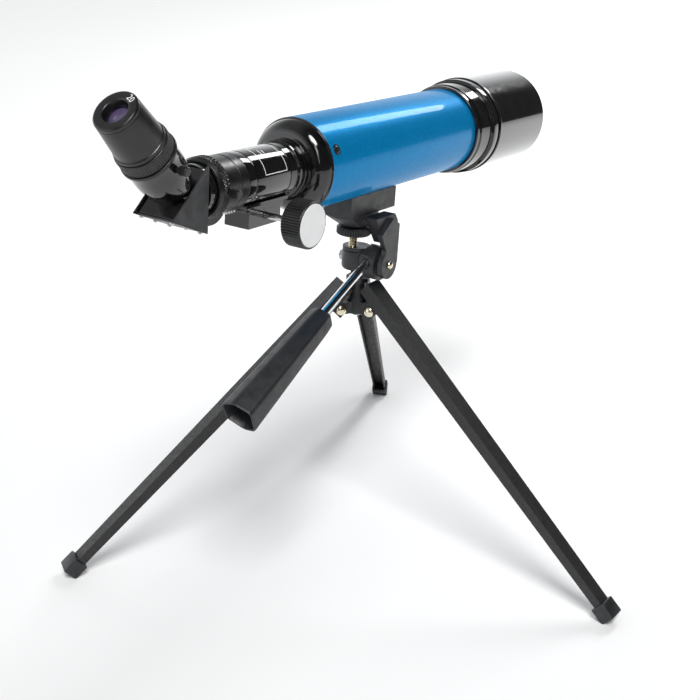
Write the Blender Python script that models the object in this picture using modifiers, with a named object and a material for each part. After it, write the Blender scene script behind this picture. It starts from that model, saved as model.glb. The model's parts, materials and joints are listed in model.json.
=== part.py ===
"""A small refracting telescope on a folding table tripod.

Everything is in metres with +Z up.  The objective end of the tube points along +X, the focus knob
that faces the user is on the -Y side, and the origin is the middle of the object's footprint.
The optical pieces hang from the empty `optics`, whose +X is the optical axis and whose origin is
the rear end of the main tube.  The head pieces hang from `tilt`, whose origin is the tilt axis.
"""

import math

import bmesh
import bpy
from mathutils import Matrix, Vector

MM = 0.001

# overall layout
TILT_HEIGHT = 210 * MM  # tilt axis above the table
TUBE_TILT = math.radians(4.8)  # how far the objective points down at rest
AXIS_HEIGHT = 77.7 * MM  # optical axis above the tilt axis
REAR_REACH = 84.5 * MM  # rear end of the main tube behind the tilt axis
GAP = 0.3 * MM  # clearance between pieces that touch

# main tube and objective
TUBE_R = 30 * MM
TUBE_WALL = 1.0 * MM
TUBE_LENGTH = 188.35 * MM
CELL_R = 33 * MM
CELL_LENGTH = 30 * MM
SPIGOT_R = 32.2 * MM
SPIGOT_LENGTH = 20 * MM
SHOULDER = 8.6 * MM  # width of the cell's front band
SHOULDER_R = 35.2 * MM
SHIELD_WALL = 2.0 * MM
SHIELD_LENGTH = 79 * MM
LENS_R = 25 * MM
TUBE_SCREW_X = 6.1 * MM
TUBE_SCREW_ANGLE = 25.7  # degrees up from the knob side

# focuser
CONE_LENGTH = 8.75 * MM
COLLAR_R = 18.2 * MM
COLLAR_LENGTH = 9.65 * MM
HOUSING_R = 16.9 * MM
HOUSING_LENGTH = 68.4 * MM
DRAWTUBE_R = 15.0 * MM
DRAWTUBE_WALL = 1.4 * MM
DRAWTUBE_TRAVEL = 40 * MM
RING_R = 18.1 * MM
RING_LENGTH = 8.4 * MM
END_COLLAR_LENGTH = 19 * MM
MODULE = 0.8 * MM
PINION_TEETH = 12
TOOTH_TIP = 0.6 * MM
TOOTH_ROOT = 0.8 * MM
RACK_HALF = 3 * MM  # half the width of the rack and its pinion
SLOT_HALF = 3.4 * MM  # half the width of the slots they run in
SLOT_TOP = -8 * MM
THUMB_SHANK_R = 1.4 * MM
KNOB_X = -42 * MM
KNOB_R = 14.6 * MM
KNOB_THICKNESS = 14.5 * MM
KNOB_FACE_Y = 44.4 * MM
PINION_BOX = (32 * MM, 18 * MM)

# diagonal and eyepiece
NOSE_R = 12.2 * MM
DIAG_FRONT_X = -103.2 * MM
DIAG_TOP = 17.5 * MM
DIAG_BOTTOM = -22.4 * MM
DIAG_BACK = (-134 * MM, -10.2 * MM)
DIAG_HALF_WIDTH = 14.4 * MM
DIAG_PLATE = 1.2 * MM
EYE_CROSS_X = -113.6 * MM  # where the eyepiece axis meets the optical axis
EYE_ANGLE = 44.3  # degrees between them
EYE_LENGTH = 71.7 * MM
EYE_TOP_R = 13.2 * MM
GRIP_RING_R = 16.1 * MM
NECK_END = 33 * MM
SOCKET_TOP = 35.5 * MM
GRIP_TOP = 44 * MM
EYE_SCREW = (25.8 * MM, 16.6 * MM, 6 * MM)  # along the eyepiece, head start and head length
SOCKET_R = 16.7 * MM
EYE_TUBE_R = 12.2 * MM

# mount block and clamp
BLOCK_X = (53.4 * MM, 111 * MM)
BLOCK_HALF_WIDTH = 11 * MM
BLOCK_DROP = 43 * MM  # its underside below the optical axis
BOSS_DROP = 52.5 * MM
BOSS_TOP_R = 23 * MM
BOSS_LOW_R = 9 * MM
BOSS_FRONT = 14 * MM  # where the cone under the block is cut off, ahead of the stud
STUD_X = -8.4 * MM
STUD_R = 3.1 * MM
PLATE_X = -3 * MM
PLATE_R = 9.8 * MM
RING_NUT_R = 12.0 * MM
RING_NUT_HEIGHT = 6 * MM

# tilt head
DRUM_R = 10.8 * MM
DRUM_X = -1.4 * MM
DRUM_TOP = 7 * MM
DRUM_BOTTOM = 6.6 * MM
BARREL_R = 12 * MM
BARREL_Y = (-19.5 * MM, -8.2 * MM)
ARM_Y = (-25.5 * MM, -21.5 * MM)
ARM_DISC_R = 10 * MM
BOLT_R = 2.0 * MM
HANDLE_Y = -13 * MM
HANDLE_LIFT = 5.5 * MM  # handle axis above the tilt axis
HANDLE_DROP = math.radians(25.8)  # below the rear of the tube
ROD_R = 3.1 * MM
BOSS_R = 6.5 * MM
BOSS_REACH = 8 * MM
GRIP_START = 66.4 * MM
GRIP_LENGTH = 99.3 * MM

# pan base, hub and legs
BASE_R = 8.2 * MM
BASE_BOTTOM = 193.6 * MM
TONGUE = (1.9 * MM, 2.5 * MM)
HUB_R = 7.4 * MM
HUB_BOTTOM = 169.5 * MM
SPIGOT_TOP_R = 5.8 * MM
PIVOT_R = 15 * MM
PIVOT_Z = 175 * MM
LEG_ANGLE = math.radians(48.2)  # from vertical, legs open
LEG_TOP = 15 * MM
LEG_WIDTH = 12 * MM
LEG_DEPTH = 8 * MM
LEG_WALL = 1.2 * MM
LEG_TAPER = (0.84, 1.08)  # width of the channel at the foot and at the hub
FACE_TAPER = (-1.6 * MM, 2.0 * MM)  # how far its outer face moves in or out there
LEG_OFFSET = 8.2 * MM  # middle of the channel outside the rivet
LEG_AZIMUTHS = (145.9, 265.9, 25.9)
CAP_SIZE = (11.6 * MM, 13.2 * MM, 12 * MM)
FOOT_LAND = 1 * MM  # how deep the floor cuts into the cap's lowest edge
CAP_EDGE = LEG_OFFSET + FACE_TAPER[0] / 2 - CAP_SIZE[0] / 2
CAP_MIDDLE_DROP = PIVOT_Z + FOOT_LAND + CAP_EDGE * math.sin(LEG_ANGLE)
LEG_REACH = CAP_MIDDLE_DROP / math.cos(LEG_ANGLE) - CAP_SIZE[2] / 2
RIVET_R = 1.9 * MM
EAR_HALF = 4.6 * MM  # half the height of the ears round the rivet
PAN_SCREW_R = 2.3 * MM


def collection(name, hidden=False):
    made = bpy.data.collections.new(name)
    bpy.context.scene.collection.children.link(made)
    made.hide_render = hidden
    return made


def clear_scene():
    for obj in list(bpy.data.objects):
        bpy.data.objects.remove(obj)


clear_scene()
PARTS = collection("tabletop_telescope")
CUTTERS = collection("cutters", hidden=True)
MATERIALS = {}


def material(name, colour, roughness, metallic=0.0, transmission=0.0):
    mat = bpy.data.materials.new(name)
    mat.use_nodes = True
    shader = mat.node_tree.nodes["Principled BSDF"]
    shader.inputs["Base Color"].default_value = (*colour, 1)
    shader.inputs["Roughness"].default_value = roughness
    shader.inputs["Metallic"].default_value = metallic
    shader.inputs["Transmission Weight"].default_value = transmission
    MATERIALS[name] = mat


def make_materials():
    material("blue_paint", (0.01, 0.23, 0.62), 0.22, 0.5)
    material("gloss_black", (0.012, 0.012, 0.013), 0.12)
    material("satin_black", (0.02, 0.02, 0.021), 0.38)
    material("matt_grey", (0.035, 0.036, 0.039), 0.55)
    material("textured_black", (0.022, 0.022, 0.023), 0.6)
    material("white_disc", (0.86, 0.86, 0.86), 0.35)
    material("chrome", (0.8, 0.8, 0.82), 0.08, 1.0)
    material("brass_nickel", (0.72, 0.66, 0.5), 0.22, 1.0)
    material("steel", (0.55, 0.55, 0.56), 0.3, 1.0)
    material("lens_glass", (0.95, 0.96, 0.98), 0.02, 0.0, 1.0)


make_materials()


def empty(name, parent=None, location=(0, 0, 0), rotation=(0, 0, 0)):
    made = bpy.data.objects.new(name, None)
    PARTS.objects.link(made)
    made.parent = parent
    made.location = location
    made.rotation_euler = rotation
    return made


def add_object(name, mesh, finish, parent=None):
    obj = bpy.data.objects.new(name, mesh)
    if finish is None:
        CUTTERS.objects.link(obj)
        obj.hide_render = True
        obj.display_type = "WIRE"
    else:
        PARTS.objects.link(obj)
        mesh.materials.append(MATERIALS[finish])
    obj.parent = parent
    return obj


def turned(name, outline, finish, parent=None, steps=32, axis="Z"):
    """A solid turned about its own Z from (radius, height) points; open ends lie on the axis."""
    area = 0
    for (r0, z0), (r1, z1) in zip(outline, outline[1:] + outline[:1]):
        area += r0 * z1 - r1 * z0
    points = outline if area < 0 else outline[::-1]
    loop = all(r > 0 for r, _ in points)
    if not loop:
        start = next(i for i, (r, _) in enumerate(points) if r == 0 and points[i - 1][0] == 0)
        points = points[start:] + points[:start]
    mesh = bpy.data.meshes.new(name)
    edges = [(i, i + 1) for i in range(len(points) - 1)]
    if loop:
        edges.append((len(points) - 1, 0))
    mesh.from_pydata([(r, 0, z) for r, z in points], edges, [])
    obj = add_object(name, mesh, finish, parent)
    screw = obj.modifiers.new("turn", "SCREW")
    screw.axis = "Z"
    screw.steps = steps
    screw.render_steps = steps
    screw.use_merge_vertices = True
    screw.merge_threshold = 1e-6
    screw.use_smooth_shade = True
    if axis == "X":
        obj.rotation_euler = (0, math.pi / 2, 0)
    elif axis == "Y":
        obj.rotation_euler = (-math.pi / 2, 0, 0)
    return obj


def rod(name, radius, low, high, finish, parent=None, steps=24, axis="Z"):
    return turned(name, [(0, high), (radius, high), (radius, low), (0, low)], finish, parent, steps, axis)


def ring(name, outer, inner, low, high, finish, parent=None, steps=32, axis="Z"):
    outline = [(outer, high), (outer, low), (inner, low), (inner, high)]
    return turned(name, outline, finish, parent, steps, axis)


def plate(name, outline, low, high, finish, parent=None, axis="Z"):
    """A flat outline with a thickness: a filled curve turned into a welded mesh."""
    curve = bpy.data.curves.new(name, "CURVE")
    curve.dimensions = "2D"
    curve.fill_mode = "BOTH"
    curve.extrude = (high - low) / 2
    spline = curve.splines.new("POLY")
    spline.points.add(len(outline) - 1)
    for point, (x, y) in zip(spline.points, outline):
        point.co = (x, y, 0, 1)
    spline.use_cyclic_u = True
    flat = bpy.data.objects.new(name + "_curve", curve)
    bpy.context.scene.collection.objects.link(flat)
    bpy.context.view_layer.update()
    graph = bpy.context.evaluated_depsgraph_get()
    mesh = bpy.data.meshes.new_from_object(flat.evaluated_get(graph))
    bpy.data.objects.remove(flat)
    tidy = bmesh.new()
    tidy.from_mesh(mesh)
    bmesh.ops.remove_doubles(tidy, verts=tidy.verts, dist=1e-6)
    bmesh.ops.translate(tidy, verts=tidy.verts, vec=(0, 0, (low + high) / 2))
    if axis == "Y":  # the outline lies in X and Z, and its thickness runs along -Y to +Y
        bmesh.ops.transform(tidy, verts=tidy.verts, matrix=Matrix.Rotation(math.pi / 2, 4, "X"))
        bmesh.ops.scale(tidy, verts=tidy.verts, vec=(1, -1, 1))
    bmesh.ops.recalc_face_normals(tidy, faces=tidy.faces)
    tidy.to_mesh(mesh)
    tidy.free()
    mesh.materials.clear()
    return add_object(name, mesh, finish, parent)


def block(name, low, high, finish, parent=None, bevel=0.0):
    made = bmesh.new()
    bmesh.ops.create_cube(made, size=1)
    low, high = Vector(low), Vector(high)
    bmesh.ops.scale(made, verts=made.verts, vec=high - low)
    bmesh.ops.translate(made, verts=made.verts, vec=(high + low) / 2)
    mesh = bpy.data.meshes.new(name)
    made.to_mesh(mesh)
    made.free()
    obj = add_object(name, mesh, finish, parent)
    if bevel:
        round_edges(obj, bevel)
    return obj


def round_edges(obj, width, segments=2):
    bevel = obj.modifiers.new("round", "BEVEL")
    bevel.width = width
    bevel.segments = segments
    bevel.limit_method = "ANGLE"
    bevel.angle_limit = math.radians(40)


def boolean(target, tool, operation):
    CUTTERS.objects.link(tool) if tool.name not in CUTTERS.objects else None
    if tool.name in PARTS.objects:
        PARTS.objects.unlink(tool)
    tool.hide_render = True
    tool.display_type = "WIRE"
    step = target.modifiers.new(operation.lower(), "BOOLEAN")
    step.operation = operation
    step.solver = "EXACT"
    step.object = tool


def cut(target, *tools):
    for tool in tools:
        boolean(target, tool, "DIFFERENCE")


def join(target, *tools):
    for tool in tools:
        boolean(target, tool, "UNION")


def loft(name, outline, stations, finish, parent=None):
    """A solid along its own Z: one outline in millimetres, scaled at each (height, scale) station."""
    made = bmesh.new()
    rings = [[made.verts.new((x * MM * k, y * MM * k, z)) for x, y in outline] for z, k in stations]
    for low, high in zip(rings, rings[1:]):
        for i in range(len(outline)):
            j = (i + 1) % len(outline)
            made.faces.new((low[i], low[j], high[j], high[i]))
    made.faces.new(rings[0][::-1])
    made.faces.new(rings[-1])
    bmesh.ops.recalc_face_normals(made, faces=made.faces)
    mesh = bpy.data.meshes.new(name)
    made.to_mesh(mesh)
    made.free()
    return add_object(name, mesh, finish, parent)


def arc(centre, radius, start, end, steps):
    """Points on an arc, angles in degrees."""
    found = []
    for i in range(steps + 1):
        angle = math.radians(start + (end - start) * i / steps)
        found.append((centre[0] + radius * math.cos(angle), centre[1] + radius * math.sin(angle)))
    return found


def screw_outline(shank, head, length, dome):
    """A dome-headed screw that points down its own Z, with the underside of the head at 0."""
    rounded = [(head * math.cos(math.radians(a)), dome * math.sin(math.radians(a))) for a in (60, 35, 0)]
    return [(0, dome)] + rounded + [(shank, 0), (shank, -length), (0, -length)]


root = empty("root")
tilt = empty("tilt", root, (0, 0, TILT_HEIGHT), (0, TUBE_TILT, 0))
optics = empty("optics", tilt, (-REAR_REACH, 0, AXIS_HEIGHT))


# ---------------------------------------------------------------- main tube and objective
def main_tube():
    tube = ring("main_tube", TUBE_R, TUBE_R - TUBE_WALL, 0, TUBE_LENGTH, "blue_paint", optics, 48, "X")
    for i in range(3):
        angle = math.radians(TUBE_SCREW_ANGLE + 120 * i)
        way = Vector((0, -math.cos(angle), math.sin(angle)))
        screw = turned(
            f"tube_screw_{i + 1}", screw_outline(1.3 * MM, 2.9 * MM, 2.4 * MM, 1.1 * MM),
            "satin_black", optics, 16,
        )
        hole = rod(f"tube_hole_{i + 1}", 1.3 * MM + GAP, -5 * MM, 5 * MM, None, optics, 16)
        for piece in (screw, hole):
            piece.location = Vector((TUBE_SCREW_X, 0, 0)) + way * (TUBE_R + GAP)
            piece.rotation_euler = way.to_track_quat("Z", "X").to_euler()
        cut(tube, hole)


def objective_cell():
    front = TUBE_LENGTH + CELL_LENGTH
    inner = LENS_R + GAP
    ring_r = TUBE_R + 1.7 * MM
    seat = TUBE_LENGTH + 15 * MM
    outline = [
        (ring_r, TUBE_LENGTH + GAP), (ring_r + 0.4 * MM, TUBE_LENGTH + 1 * MM),
        (ring_r + 0.4 * MM, TUBE_LENGTH + 4 * MM), (CELL_R, TUBE_LENGTH + 5 * MM),
        (CELL_R, front - SHOULDER - 0.6 * MM), (SHOULDER_R, front - SHOULDER),
        (SHOULDER_R, front - 2 * MM), (SPIGOT_R, front - 1.5 * MM),
        (SPIGOT_R, front + SPIGOT_LENGTH), (inner + 3 * MM, front + SPIGOT_LENGTH),
        (inner + 1.5 * MM, front), (inner, front), (inner, seat), (inner - 2 * MM, seat),
        (inner - 2 * MM, seat - 2 * MM), (TUBE_R - TUBE_WALL - 2 * MM, TUBE_LENGTH - 8 * MM),
        (TUBE_R - TUBE_WALL - GAP, TUBE_LENGTH - 8 * MM), (TUBE_R - TUBE_WALL - GAP, TUBE_LENGTH + GAP),
    ]
    turned("objective_cell", outline, "gloss_black", optics, 40, "X")
    objective_lenses(seat + GAP)


def lens_outline(radius, rear, front, rear_sag, front_sag, steps=5):
    """A lens section between rear and front at its rim; a sag is how far the middle stands out."""
    rear_face, front_face = [], []
    for i in range(steps + 1):
        r = radius * i / steps
        bow = 1 - (r / radius) ** 2
        rear_face.append((r, rear - rear_sag * bow))
        front_face.append((r, front + front_sag * bow))
    return front_face + rear_face[::-1]


def objective_lenses(seat):
    r = LENS_R
    flint_lens = lens_outline(r, seat, seat + 4 * MM, 1 * MM, -1.4 * MM)
    turned("flint_lens", flint_lens, "lens_glass", optics, 24, "X")
    spacer = seat + 4 * MM + GAP
    ring("lens_spacer", r, r - 1.6 * MM, spacer, spacer + 0.6 * MM, "satin_black", optics, 32, "X")
    crown = spacer + 0.6 * MM + GAP
    crown_lens = lens_outline(r, crown, crown + 2.6 * MM, -0.4 * MM, 1.7 * MM)
    turned("crown_lens", crown_lens, "lens_glass", optics, 24, "X")
    lock = crown + 2.6 * MM + GAP
    ring("lens_retainer", r, r - 2.2 * MM, lock, lock + 2.4 * MM, "satin_black", optics, 32, "X")


def dew_shield():
    rear = TUBE_LENGTH + CELL_LENGTH + GAP
    front = rear + SHIELD_LENGTH
    inner = SPIGOT_R + GAP
    outer = SPIGOT_R + GAP + SHIELD_WALL + 1 * MM
    outline = [
        (inner, rear), (outer, rear), (outer + 0.4 * MM, rear + 0.6 * MM),
        (outer + 0.4 * MM, rear + 2 * MM), (outer, rear + 2.8 * MM), (outer, front - 1.2 * MM),
        (outer - 0.6 * MM, front), (inner, front),
    ]
    turned("dew_shield", outline, "gloss_black", optics, 40, "X")


# ---------------------------------------------------------------- focuser
PITCH_R = MODULE * PINION_TEETH / 2
RACK_PITCH_W = -(DRAWTUBE_R + 3.1 * MM)
KNOB_W = RACK_PITCH_W - PITCH_R
SHAFT_R = 2.0 * MM
BORE_R = DRAWTUBE_R + GAP


def focuser_body():
    bulge = []
    for i in range(5):
        turn = math.radians(90 * i / 4)
        bulge.append((
            COLLAR_R + (TUBE_R - 0.8 * MM - COLLAR_R) * math.cos(turn) ** 0.8,
            -1.2 * MM - (CONE_LENGTH + 0.2 * MM) * math.sin(turn) ** 1.3,
        ))
    neck = -1.2 * MM - CONE_LENGTH - 0.2 * MM
    plug_r = TUBE_R - TUBE_WALL - GAP
    outline = [
        (plug_r - 2.4 * MM, 10 * MM), (plug_r, 10 * MM), (plug_r, -GAP), (TUBE_R + 0.1 * MM, -GAP),
        (TUBE_R + 0.1 * MM, -1 * MM), *bulge, (COLLAR_R, neck - COLLAR_LENGTH),
        (HOUSING_R, neck - COLLAR_LENGTH - 0.8 * MM), (HOUSING_R, -HOUSING_LENGTH),
        (BORE_R, -HOUSING_LENGTH), (BORE_R, neck), (plug_r - 2.4 * MM, -0.5 * MM),
    ]
    body = turned("focuser_body", outline, "gloss_black", optics, 40, "X")
    ledge_low = (-HOUSING_LENGTH + 2 * MM, -13 * MM, -15 * MM)
    ledge = block("ledge", ledge_low, (-24 * MM, 13 * MM, -12.6 * MM), None, optics)
    pad_low = (-HOUSING_LENGTH + 6 * MM, -10.5 * MM, -PAD_DROP)
    pad = block("pad", pad_low, (-25 * MM, 10.5 * MM, -13.8 * MM), None, optics)
    bore = rod("bore", BORE_R, -HOUSING_LENGTH - 5 * MM, neck - 2 * MM, None, optics, 48, "X")
    slot_low = (-HOUSING_LENGTH - 5 * MM, -SLOT_HALF, -30 * MM)
    slot = block("slot", slot_low, (-27 * MM, SLOT_HALF, SLOT_TOP), None, optics)
    room_low = (-30 * MM, -SLOT_HALF, RACK_PITCH_W - 1 * MM)
    rack_room = block("rack_room", room_low, (-5 * MM, SLOT_HALF, SLOT_TOP), None, optics)
    join(body, ledge, pad)
    cut(body, bore, slot, rack_room)
    for i in range(3):
        angle = math.radians(TUBE_SCREW_ANGLE + 120 * i)
        way = Vector((0, -math.cos(angle), math.sin(angle)))
        hole = rod(f"plug_hole_{i + 1}", 1.3 * MM + GAP, -5 * MM, 5 * MM, None, optics, 16)
        hole.location = Vector((TUBE_SCREW_X, 0, 0)) + way * TUBE_R
        hole.rotation_euler = way.to_track_quat("Z", "X").to_euler()
        cut(body, hole)


PAD_DROP = 18.6 * MM


def pinion_cover():
    half_length, half_width = PINION_BOX[0] / 2, PINION_BOX[1] / 2
    bottom = KNOB_W - PITCH_R - 1.6 * MM
    cover = block(
        "pinion_cover", (KNOB_X - half_length, -half_width, bottom),
        (KNOB_X + half_length, half_width, -PAD_DROP - GAP), "satin_black", optics)
    well = block(
        "pinion_well", (KNOB_X - PITCH_R - 1.2 * MM, -4.4 * MM, KNOB_W - PITCH_R - 0.9 * MM),
        (KNOB_X + PITCH_R + 1.2 * MM, 4.4 * MM, 0), None, optics)
    bore = rod("shaft_bore", SHAFT_R + GAP, -20 * MM, 20 * MM, None, optics, 20, "Y")
    bore.location = (KNOB_X, 0, KNOB_W)
    cut(cover, well, bore)
    for i, side in enumerate((-1, 1)):
        x = KNOB_X + side * (half_length - 4 * MM)
        screw = turned(
            f"pinion_cover_screw_{i + 1}", screw_outline(1.2 * MM, 2.2 * MM, 8 * MM, 1 * MM),
            "steel", optics, 14)
        screw.location = (x, 0, bottom - GAP)
        screw.rotation_euler = (math.pi, 0, 0)
        hole = rod(f"cover_hole_{i + 1}", 1.2 * MM + GAP, bottom - 3 * MM, -10 * MM, None, optics, 14)
        hole.location = (x, 0, 0)
        cut(cover, hole)


def tooth_outline(radius, teeth, height, root_depth, share=0.2):
    """A gear outline: trapezoid teeth that stand height above and root_depth below the pitch circle."""
    pitch = 2 * math.pi / teeth
    points = []
    for i in range(teeth):
        middle = i * pitch - math.pi / 2
        for turn, r in (
            (-share * 1.5, radius - root_depth), (-share * 0.6, radius + height),
            (share * 0.6, radius + height), (share * 1.5, radius - root_depth),
        ):
            angle = middle + turn * pitch
            points.append((r * math.cos(angle), r * math.sin(angle)))
    return points


def pinion_and_knobs():
    shaft_end = KNOB_FACE_Y - 4 * MM
    shaft = rod("pinion_shaft", SHAFT_R, -shaft_end, shaft_end, "steel", optics, 20, "Y")
    shaft.location = (KNOB_X, 0, KNOB_W)
    gear = plate(
        "pinion_teeth", tooth_outline(PITCH_R, PINION_TEETH, TOOTH_TIP, TOOTH_ROOT), -RACK_HALF, RACK_HALF,
        None, optics, "Y")
    gear.location = (KNOB_X, 0, KNOB_W)
    gear.rotation_euler = (0, math.pi, 0)
    join(shaft, gear)
    for name, side in (("focus_knob_near", -1), ("focus_knob_far", 1)):
        face = KNOB_FACE_Y
        outline = [
            (SHAFT_R + GAP, face - KNOB_THICKNESS), (KNOB_R - 0.6 * MM, face - KNOB_THICKNESS),
            (KNOB_R, face - KNOB_THICKNESS + 0.8 * MM), (KNOB_R, face - 1.2 * MM),
            (KNOB_R - 0.6 * MM, face - 0.4 * MM), (KNOB_R - 1.2 * MM, face - 0.4 * MM),
            (KNOB_R - 1.2 * MM, face - 1.6 * MM), (SHAFT_R + GAP, face - 1.6 * MM),
        ]
        knob = turned(name, [(r, side * y) for r, y in outline], "satin_black", optics, 32, "Y")
        knob.location = (KNOB_X, 0, KNOB_W)
        insert_name = name.replace("focus_knob", "knob_face")
        insert = rod(
            insert_name, KNOB_R - 1.2 * MM - GAP, face - 1.6 * MM + GAP, face, "white_disc", optics, 32, "Y")
        insert.location = (KNOB_X, 0, KNOB_W)
        if side < 0:
            insert.rotation_euler = (math.pi / 2, 0, 0)


def drawtube():
    rear = -HOUSING_LENGTH - END_COLLAR_LENGTH + 2 * MM
    front = -6 * MM
    ring("drawtube", DRAWTUBE_R, DRAWTUBE_R - DRAWTUBE_WALL, rear, front, "satin_black", optics, 32, "X")
    rack_top = -DRAWTUBE_R - 0.6 * MM
    root = RACK_PITCH_W + TOOTH_ROOT
    tip = RACK_PITCH_W - TOOTH_TIP
    pitch = math.pi * MODULE
    start = KNOB_X - pitch * 11.5
    count = 28
    outline = [(start - pitch, rack_top), (start - pitch, root)]
    for i in range(count):
        x = start + i * pitch
        outline += [(x - 0.3 * pitch, root), (x - 0.13 * pitch, tip)]
        outline += [(x + 0.13 * pitch, tip), (x + 0.3 * pitch, root)]
    outline += [(start + count * pitch, root), (start + count * pitch, rack_top)]
    plate("focus_rack", outline, -RACK_HALF, RACK_HALF, "steel", optics, "Y")


def end_collar():
    front = -HOUSING_LENGTH - GAP
    edge = -HOUSING_LENGTH - END_COLLAR_LENGTH - GAP
    rear = edge - RING_LENGTH
    outline = [
        (HOUSING_R, front), (HOUSING_R, edge), (RING_R - 0.3 * MM, edge), (RING_R, edge - 0.5 * MM),
        (RING_R, edge - 6.4 * MM), (RING_R - 1.2 * MM, rear), (NOSE_R + 3.2 * MM, rear),
        (NOSE_R + 3.2 * MM, rear + 4.4 * MM), (NOSE_R + GAP, rear + 4.4 * MM), (NOSE_R + GAP, edge + 2 * MM),
        (BORE_R, edge + 2.1 * MM), (BORE_R, front),
    ]
    collar = turned("drawtube_collar", outline, "satin_black", optics, 32, "X")
    slot_low = (front - 14 * MM, -SLOT_HALF, -30 * MM)
    slot = block("collar_slot", slot_low, (front + 5 * MM, SLOT_HALF, SLOT_TOP), None, optics)
    hole = rod("nose_hole", THUMB_SHANK_R + GAP, 0, 30 * MM, None, optics, 16, "Y")
    hole.rotation_euler = (math.pi / 2, 0, 0)
    hole.location = (edge - 2.2 * MM, 0, 0)
    cut(collar, slot, hole)
    thumbscrew("nose_thumbscrew", (edge - 2.2 * MM, 0, 0), NOSE_R + 2 * GAP, RING_R + 1.2 * MM, 6.6 * MM)


def thumbscrew(name, origin, tip, start, length):
    """A thumbscrew that points along -Y from its head: shank from tip, knurled head from start."""
    outline = [
        (0, tip), (THUMB_SHANK_R, tip), (THUMB_SHANK_R, start),
        (2.2 * MM, start), (2.7 * MM, start + 0.8 * MM),
        (2.7 * MM, start + length - 0.5 * MM), (2.2 * MM, start + length), (0, start + length),
    ]
    screw = turned(name, outline, "satin_black", optics, 18)
    screw.rotation_euler = (math.pi / 2, 0, 0)
    screw.location = origin
    return screw


# ---------------------------------------------------------------- diagonal and eyepiece
eye_turn = math.radians(EYE_ANGLE)
eyepiece = empty("eyepiece_axis", optics, (EYE_CROSS_X, 0, 0), (0, -eye_turn, 0))


def inset(points, distance):
    """A convex outline moved inwards by a distance."""
    count = len(points)
    area = sum(points[i - 1][0] * points[i][1] - points[i][0] * points[i - 1][1] for i in range(count))
    sign = 1 if area > 0 else -1
    found = []
    for i in range(count):
        before, here, after = (Vector(points[(i + k) % count]) for k in (-1, 0, 1))
        first, second = (here - before).normalized(), (after - here).normalized()
        n1 = Vector((-first.y, first.x)) * sign
        n2 = Vector((-second.y, second.x)) * sign
        middle = (n1 + n2).normalized()
        found.append(tuple(here + middle * (distance / middle.dot(n1))))
    return found


def diagonal():
    triangle = [(DIAG_FRONT_X, DIAG_TOP), DIAG_BACK, (DIAG_FRONT_X, DIAG_BOTTOM)]
    plate_y = DIAG_HALF_WIDTH - DIAG_PLATE
    for name, low in (("diagonal_plate_near", -DIAG_HALF_WIDTH), ("diagonal_plate_far", plate_y)):
        plate(name, triangle, low, low + DIAG_PLATE, "matt_grey", optics, "Y")
    body_y = plate_y - GAP
    shell_outline = inset(triangle, DIAG_PLATE + GAP)
    shell = plate("diagonal_housing", shell_outline, -body_y, body_y, "satin_black", optics, "Y")
    neck = turned("neck", [
        (0, NECK_END), (SOCKET_R - 0.8 * MM, NECK_END), (SOCKET_R - 1 * MM, NECK_END - 3 * MM),
        (13.2 * MM, 17 * MM), (12.4 * MM, 3 * MM), (0, 3 * MM)], None, eyepiece, 32)
    join(shell, neck)
    glass = inset(triangle, 3.8 * MM)
    room_y = body_y - 2 * MM
    room = plate("prism_room", inset(triangle, 3.5 * MM), -room_y, room_y, None, optics, "Y")
    bore_x = (DIAG_FRONT_X - 9 * MM, DIAG_FRONT_X + 9 * MM)
    front_bore = rod("front_bore", 10.4 * MM, bore_x[0], bore_x[1], None, optics, 32, "X")
    eye_bore = rod("eye_bore", EYE_TUBE_R + GAP, 16 * MM, 50 * MM, None, eyepiece, 32)
    light = rod("light_path", 9 * MM, 5 * MM, 30 * MM, None, eyepiece, 32)
    cut(shell, room, front_bore, eye_bore, light)
    plate("diagonal_prism", glass, -body_y + 2.3 * MM, body_y - 2.3 * MM, "lens_glass", optics, "Y")
    base_plate(triangle)
    nosepiece()


def base_plate(triangle):
    back, corner = Vector(triangle[1]), Vector(triangle[2])
    along = (corner - back).normalized()
    down = Vector((along.y, -along.x))
    first, last = back.lerp(corner, 0.06), back.lerp(corner, 0.97)
    outline = [first - down * DIAG_PLATE, last - down * DIAG_PLATE, last, first]
    body_y = DIAG_HALF_WIDTH - DIAG_PLATE - GAP
    plate("diagonal_base_plate", [tuple(p) for p in outline], -body_y, body_y, "matt_grey", optics, "Y")
    for i, share in enumerate((0.13, 0.87)):
        spot = back.lerp(corner, share) + down * GAP
        screw = turned(
            f"base_screw_{i + 1}", [(0, 1.1 * MM), (1.1 * MM, 0.7 * MM), (1.3 * MM, 0), (0, 0)],
            "steel", optics, 12)
        screw.location = (spot.x, -DIAG_HALF_WIDTH + 3.4 * MM, spot.y)
        screw.rotation_euler = Vector((down.x, 0, down.y)).to_track_quat("Z", "X").to_euler()


def nosepiece():
    flange = DIAG_FRONT_X + 0.9 * MM
    rear = -HOUSING_LENGTH - END_COLLAR_LENGTH - GAP - RING_LENGTH
    outline = [
        (NOSE_R + 2.8 * MM, flange + GAP), (NOSE_R + 2.8 * MM, rear + 4.4 * MM - GAP),
        (NOSE_R, rear + 4.4 * MM - GAP), (NOSE_R, rear + RING_LENGTH + 1 * MM),
        (10.6 * MM, rear + RING_LENGTH + 1 * MM), (10.6 * MM, flange + GAP),
    ]
    turned("diagonal_nosepiece", outline, "satin_black", optics, 32, "X")


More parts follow.
